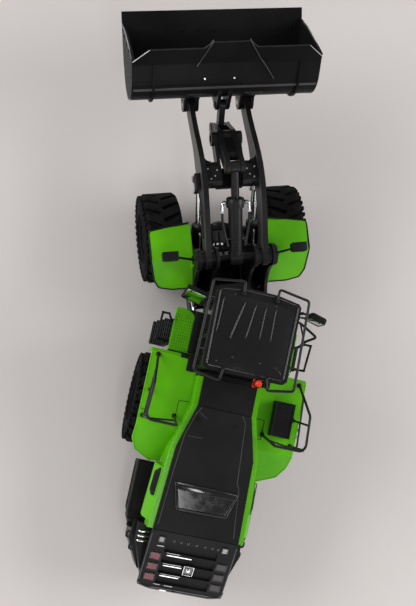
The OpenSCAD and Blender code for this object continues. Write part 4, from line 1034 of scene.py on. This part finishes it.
# %% Ribs between two points
def rib_between(start, end, up, wide, high, soft=0.2):
    start, end, up = Vector(start), Vector(end), Vector(up).normalized()
    run = (end - start).normalized()
    side = up.cross(run).normalized()
    rise = run.cross(side).normalized()
    piece = block((0, -wide / 2, -0.3), ((end - start).length, wide / 2, high), soft=soft)
    rows = [(run[i], side[i], rise[i], start[i]) for i in range(3)]
    return placed(piece, Matrix((*rows, (0, 0, 0, 1))))


CHEEK = 5.8
pin, high_end, low_end = (72.8, 11.3), (49.5, 26.3), (84.55, -1.7)
cheeks = []
for sideways in (-2.6, 0, 2.6):
    near = (CHEEK, pin[0] - 3.6, pin[1] + 2.4 + sideways)
    far = (CHEEK, high_end[0] + 3.6, high_end[1] - 2.4 + 0.6 * sideways)
    cheeks.append(rib_between(near, far, (1, 0, 0), 0.9, 0.45))
near, far = (CHEEK, pin[0] + 3, pin[1] - 3.4), (CHEEK, low_end[0] - 1.4, low_end[1] + 1.6)
cheeks.append(rib_between(near, far, (1, 0, 0), 1.0, 0.45))
boss = turned([(3.6, 5.6), (3.6, 6.1), (3.2, 6.25)], 32)
boss = copied(boss, [at(0, *end, ("Y", 90)) for end in (high_end, low_end)])
on_rocker(both_sides(joined(*cheeks, boss)), "rocker_ribs", "black_paint")
bush = turned([(2.7, 6.0), (2.7, 6.25), (2.4, 6.32), (1.3, 6.32)], 32)
on_rocker(both_sides(placed(bush, at(0, *high_end, ("Y", 90)))), "rocker_bushes", "bronze")

# %% [markdown]
# The head of the tilt cylinder has bright elbows, from which rubber hoses run back beside the barrel. The
# elbow is a pipe with a rounded corner and a nut at each end, and the hose bows outwards a little, as a
# real one does.

# %% Tilt cylinder fittings
elbow = pipe([(6.4, 34.5, 0), (8.4, 34.5, 0.6), (8.4, 29.5, 1.2)], 0.85)
nuts = copied(head(0, 1.3, 1.5, 1.25, 1.0), [at(6.2, 34.5, 0, ("Y", 90)), at(8.4, 29.9, 1.15, ("X", 90))])
on_tilt(both_sides(joined(elbow, nuts)), "tilt_elbows", "bright_rod")
hose = pipe([(8.4, 29, 1.2), (8.6, 25, 1.4), (7.8, 18, 1.6), (6.2, 12, 2.2), (5.4, 8, 3.2)], 0.8, smooth=True)
clip = pipe([(0, 12.5, 4.3), (4.6, 12.5, 3.4), (6.2, 12.5, 2.4)], 0.5)
on_tilt(both_sides(joined(hose, clip)), "tilt_hoses", "hose_rubber", smooth=60)
gland = turned([(5.5, 31.6), (5.6, 32.2), (5.6, 36.4), (5.2, 37.2), (3.4, 37.5), (2.7, 37.3)], 32)
on_tilt(placed(gland, turn("X", -90)), "tilt_gland", "black_paint")

# %% [markdown]
# The lift cylinders get a gland where the rod comes out, and a hard line along the barrel.

# %% Lift cylinder fittings
cap = turned([(4.3, 44.4), (4.5, 44.8), (4.5, 47.6), (4.1, 48.2), (2.5, 48.3)], 32)
on_lift(both_sides(placed(cap, at(17.8, 0, 0, ("X", -90)))), "lift_glands", "black_paint")
line = pipe([(17.8, 44, 3.6), (17.8, 43, 5.0), (17.8, 10, 5.0), (17.8, 8, 3.6)], 0.55)
on_lift(both_sides(line), "lift_lines", "pin_steel")

# %% [markdown]
# # Bucket
# Thin gussets run down the back of the bucket in an A, from the top of the spill guard towards the hinges.
# Each leg is two ribs, one on the guard and one on the back, because the two surfaces meet at an angle.

# %% Gussets
guard_up, back_up = (0, -0.682, 0.731), (0, -0.375, 0.927)


def guard_spot(x, up):
    """A place on the spill guard, given by its height above the fold."""
    return (x, 28.17 + 0.731 * up, 34.35 + 0.682 * up)


def back_spot(x, up):
    """A place on the flat of the back, given by its height above the roll."""
    return (x, 17.51 + 0.927 * up, 30.04 + 0.375 * up)


legs = [
    (guard_spot(-11.2, 16.2), guard_spot(-17.8, -0.4), guard_up),
    (back_spot(-17.8, 11.2), back_spot(-19.2, 8.4), back_up),
    (guard_spot(10.6, 16.2), guard_spot(20.2, -0.4), guard_up),
    (back_spot(20.2, 11.2), back_spot(28.6, -1.0), back_up),
]
legs = [rib_between(*leg, 0.6, 1.7, soft=0.15) for leg in legs]
# The gussets take the lighter satin, a painted highlight along them.
on_bucket(joined(*legs), "bucket_gussets", "arm_side")
low, high = (35.2, 41.6), (38.6, 44.7)
crest = ((-48, low), (-16, low), (-11.4, high), (11.4, high), (16, low), (48, low))
bead = pipe([(x, *edge) for x, edge in crest], 0.4)
on_bucket(bead, "guard_bead", "black_paint")
# Painted highlights: thin steel lines on the guard's ends and along the side plates' edges stand for glints
# there.
ends = both_sides(pipe([(47.6, 35.2, 41.8), (57.0, 28.6, 35.6)], 0.32))
on_bucket(ends, "bucket_edges", "pin_steel")
rolled = [(47.0, -8.4), (25.0, -8.4), (15.0, -5.8), (9.7, -1.4), (6.2, 4.7), (5.1, 9.6), (5.1, 13.4),
          (6.2, 18.3)]
front_glint = [(49.2, -6.6), (44.8, 6.5), (33.8, 28.2), (30.6, 33.6)]
edges = both_sides(joined(*(pipe([(57.3, y, z) for y, z in line], 0.36) for line in (rolled, front_glint))))
on_bucket(edges, "bucket_rims", "pin_steel")

# %% [markdown]
# A heavy plate closes the hinges of each arm. Above them two bright bolt heads on the bucket's back stand
# where glints show, a painted highlight. A heel strip in the lighter satin, a painted highlight along the
# curve of the back, runs the whole width between the two.

# %% Hinge pads
pad = block((12.2, 7.4, 20.6), (23.6, 8.4, 22.4))
sunk(pad, lambda c, n: n.y < -0.9, (0.5, -0.2))
on_bucket(both_sides(pad), "hinge_pads", "black_paint")
# Painted highlight: two bright bolt heads stand where glints show on the back.
bolts = copied(head(-0.6, 0.5, 0.75, 0.8, 0.6), [at(x, 17.6, 30.0, ("X", 25)) for x in (-13.8, 4.2)])
on_bucket(bolts, "hinge_bolts", "bright_rod", smooth=20)
# Painted highlight: the heel strip in the lighter satin marks the bright band along the curve.
strip = block((-56.6, -0.9, -0.5), (56.6, 0.9, 0.35), soft=0.15)
on_bucket(placed(strip, at(0, 11.9, 26.7, ("X", 44))), "heel_strip", "arm_side")

# %% [markdown]
# Wear strips protect the sides, and a row of bolt heads holds the cutting edge. The strip is a cut plate
# with the side's own outline, stood up by a matrix that swaps the axes. Last, the middle of the bucket's
# back gets the lighter satin, a painted highlight.

# %% Side wear strips
ON_SIDE = Matrix(((0, 0, 1, 0), (1, 0, 0, 0), (0, 1, 0, 0), (0, 0, 0, 1)))
outline = [(47.5, -7.6), (49.4, -7.6), (49.2, -5.0), (44.6, 6.4), (33.6, 28.0), (31.2, 27.4), (42.2, 5.6)]
strip = placed(cut_plate(outline, 0.9), shift(56.7, 0, 0) @ ON_SIDE)
spots = ((45.9, -2), (42.6, 6), (38.4, 14.4), (34.4, 22.4))
screws = copied(head(0, 0.5, 0.7, 0.9, 0.65), [at(57.4, y, z, ("Y", 90)) for y, z in spots])
on_bucket(both_sides(joined(strip, screws)), "side_wear_strips", "black_paint")
bolts = copied(head(0, 0.5, 0.8, 1.0, 0.7, facets=12), [at(-50 + 10 * i, 44.5, -7.2) for i in range(11)])
on_bucket(bolts, "edge_bolts", "bucket_black")
paint_highlight_on_sides("bucket", across, lambda centre: abs(centre.x - 0.0109) < 0.027 and centre.y < 0.139)

# %% [markdown]
# # Wheels
# One wheel's trim is described once, in a frame whose height points outwards along the axle, and is placed
# four times. It has rings and shoulder blocks on the sidewall, and a hub with short spokes and a ring of
# nuts.

# %% Wheel trim
def bead_ring(radius, height, thick):
    only()
    bpy.ops.mesh.primitive_torus_add(major_radius=radius, minor_radius=thick, location=(0, 0, height),
                                     major_segments=72, minor_segments=8)
    settle()
    return bpy.context.object


def tyre_trim():
    shoulder = block((25.0, -1.15, 11.3), (28.3, 1.15, 12.75), soft=0.35)
    edit(shoulder, "FACE", lambda c, n: n.x < -0.9)
    bpy.ops.transform.resize(value=(1, 0.6, 0.8))
    leave()
    blocks = copied(shoulder, [turn("Z", 9 * i) for i in range(40)])
    rings = ((15.6, 12.55, 0.35), (22.4, 12.6, 0.3), (13.3, 10.9, 0.5))
    return joined(blocks, *[bead_ring(*ring) for ring in rings])


def hub_trim():
    cap = turned([(3.6, 6.1), (3.6, 6.9), (2.8, 7.4), (1.6, 7.5), (1.4, 7.2)], 32)
    nuts = copied(head(0, 0.9, 1.1, 0.62, 0.45), [turn("Z", 36 * i) @ shift(5.6, 0, 5.4) for i in range(10)])
    spoke = block((7.4, -0.5, 1.0), (10.6, 0.5, 2.4), soft=0.25)
    spokes = copied(spoke, [turn("Z", 60 * i + 30) for i in range(6)])
    return joined(cap, nuts, spokes, bead_ring(12.1, 9.6, 0.55))


TRACK_HALF, AXLE_HEIGHT = 40, 29.3
for end, base, along in (("front", FRONT, 61.5), ("rear", REAR, -59)):
    for side, sign in (("left", -1), ("right", 1)):
        corner = end + "_" + side
        place = base @ shift(TRACK_HALF * sign, along, AXLE_HEIGHT) @ turn("Y", 90 * sign)
        on_wheel = hung_on("wheel_" + corner, place)
        on_wheel(tyre_trim(), "tyre_trim_" + corner, "tyre")
        on_wheel(hub_trim(), "hub_trim_" + corner, "black_paint")

# %% [markdown]
# # Ladders
# The treads of the ladders are punched gratings. A small grid of blocks on each tread gives that grain.

# %% Tread gratings
treads = []
for i in range(4):
    reach, z = 48.0 - 1.2 * i, 17.4 + 11 * i
    inside = [x for x in (39.0 + 1.3 * k for k in range(8)) if x < reach - 0.6]
    bars = [((x, -22.6, z - 0.15), (x + 0.5, -7.8, z + 0.5)) for x in inside]
    bars += [((38.6, y, z - 0.15), (reach, y + 0.5, z + 0.4))
             for y in (-22.4, -19.4, -16.4, -13.4, -10.4, -8.0)]
    treads += [block(*bar, soft=0.12, steps=1) for bar in bars]
on_rear(both_sides(joined(*treads)), "ladder_gratings", "grey_plastic")
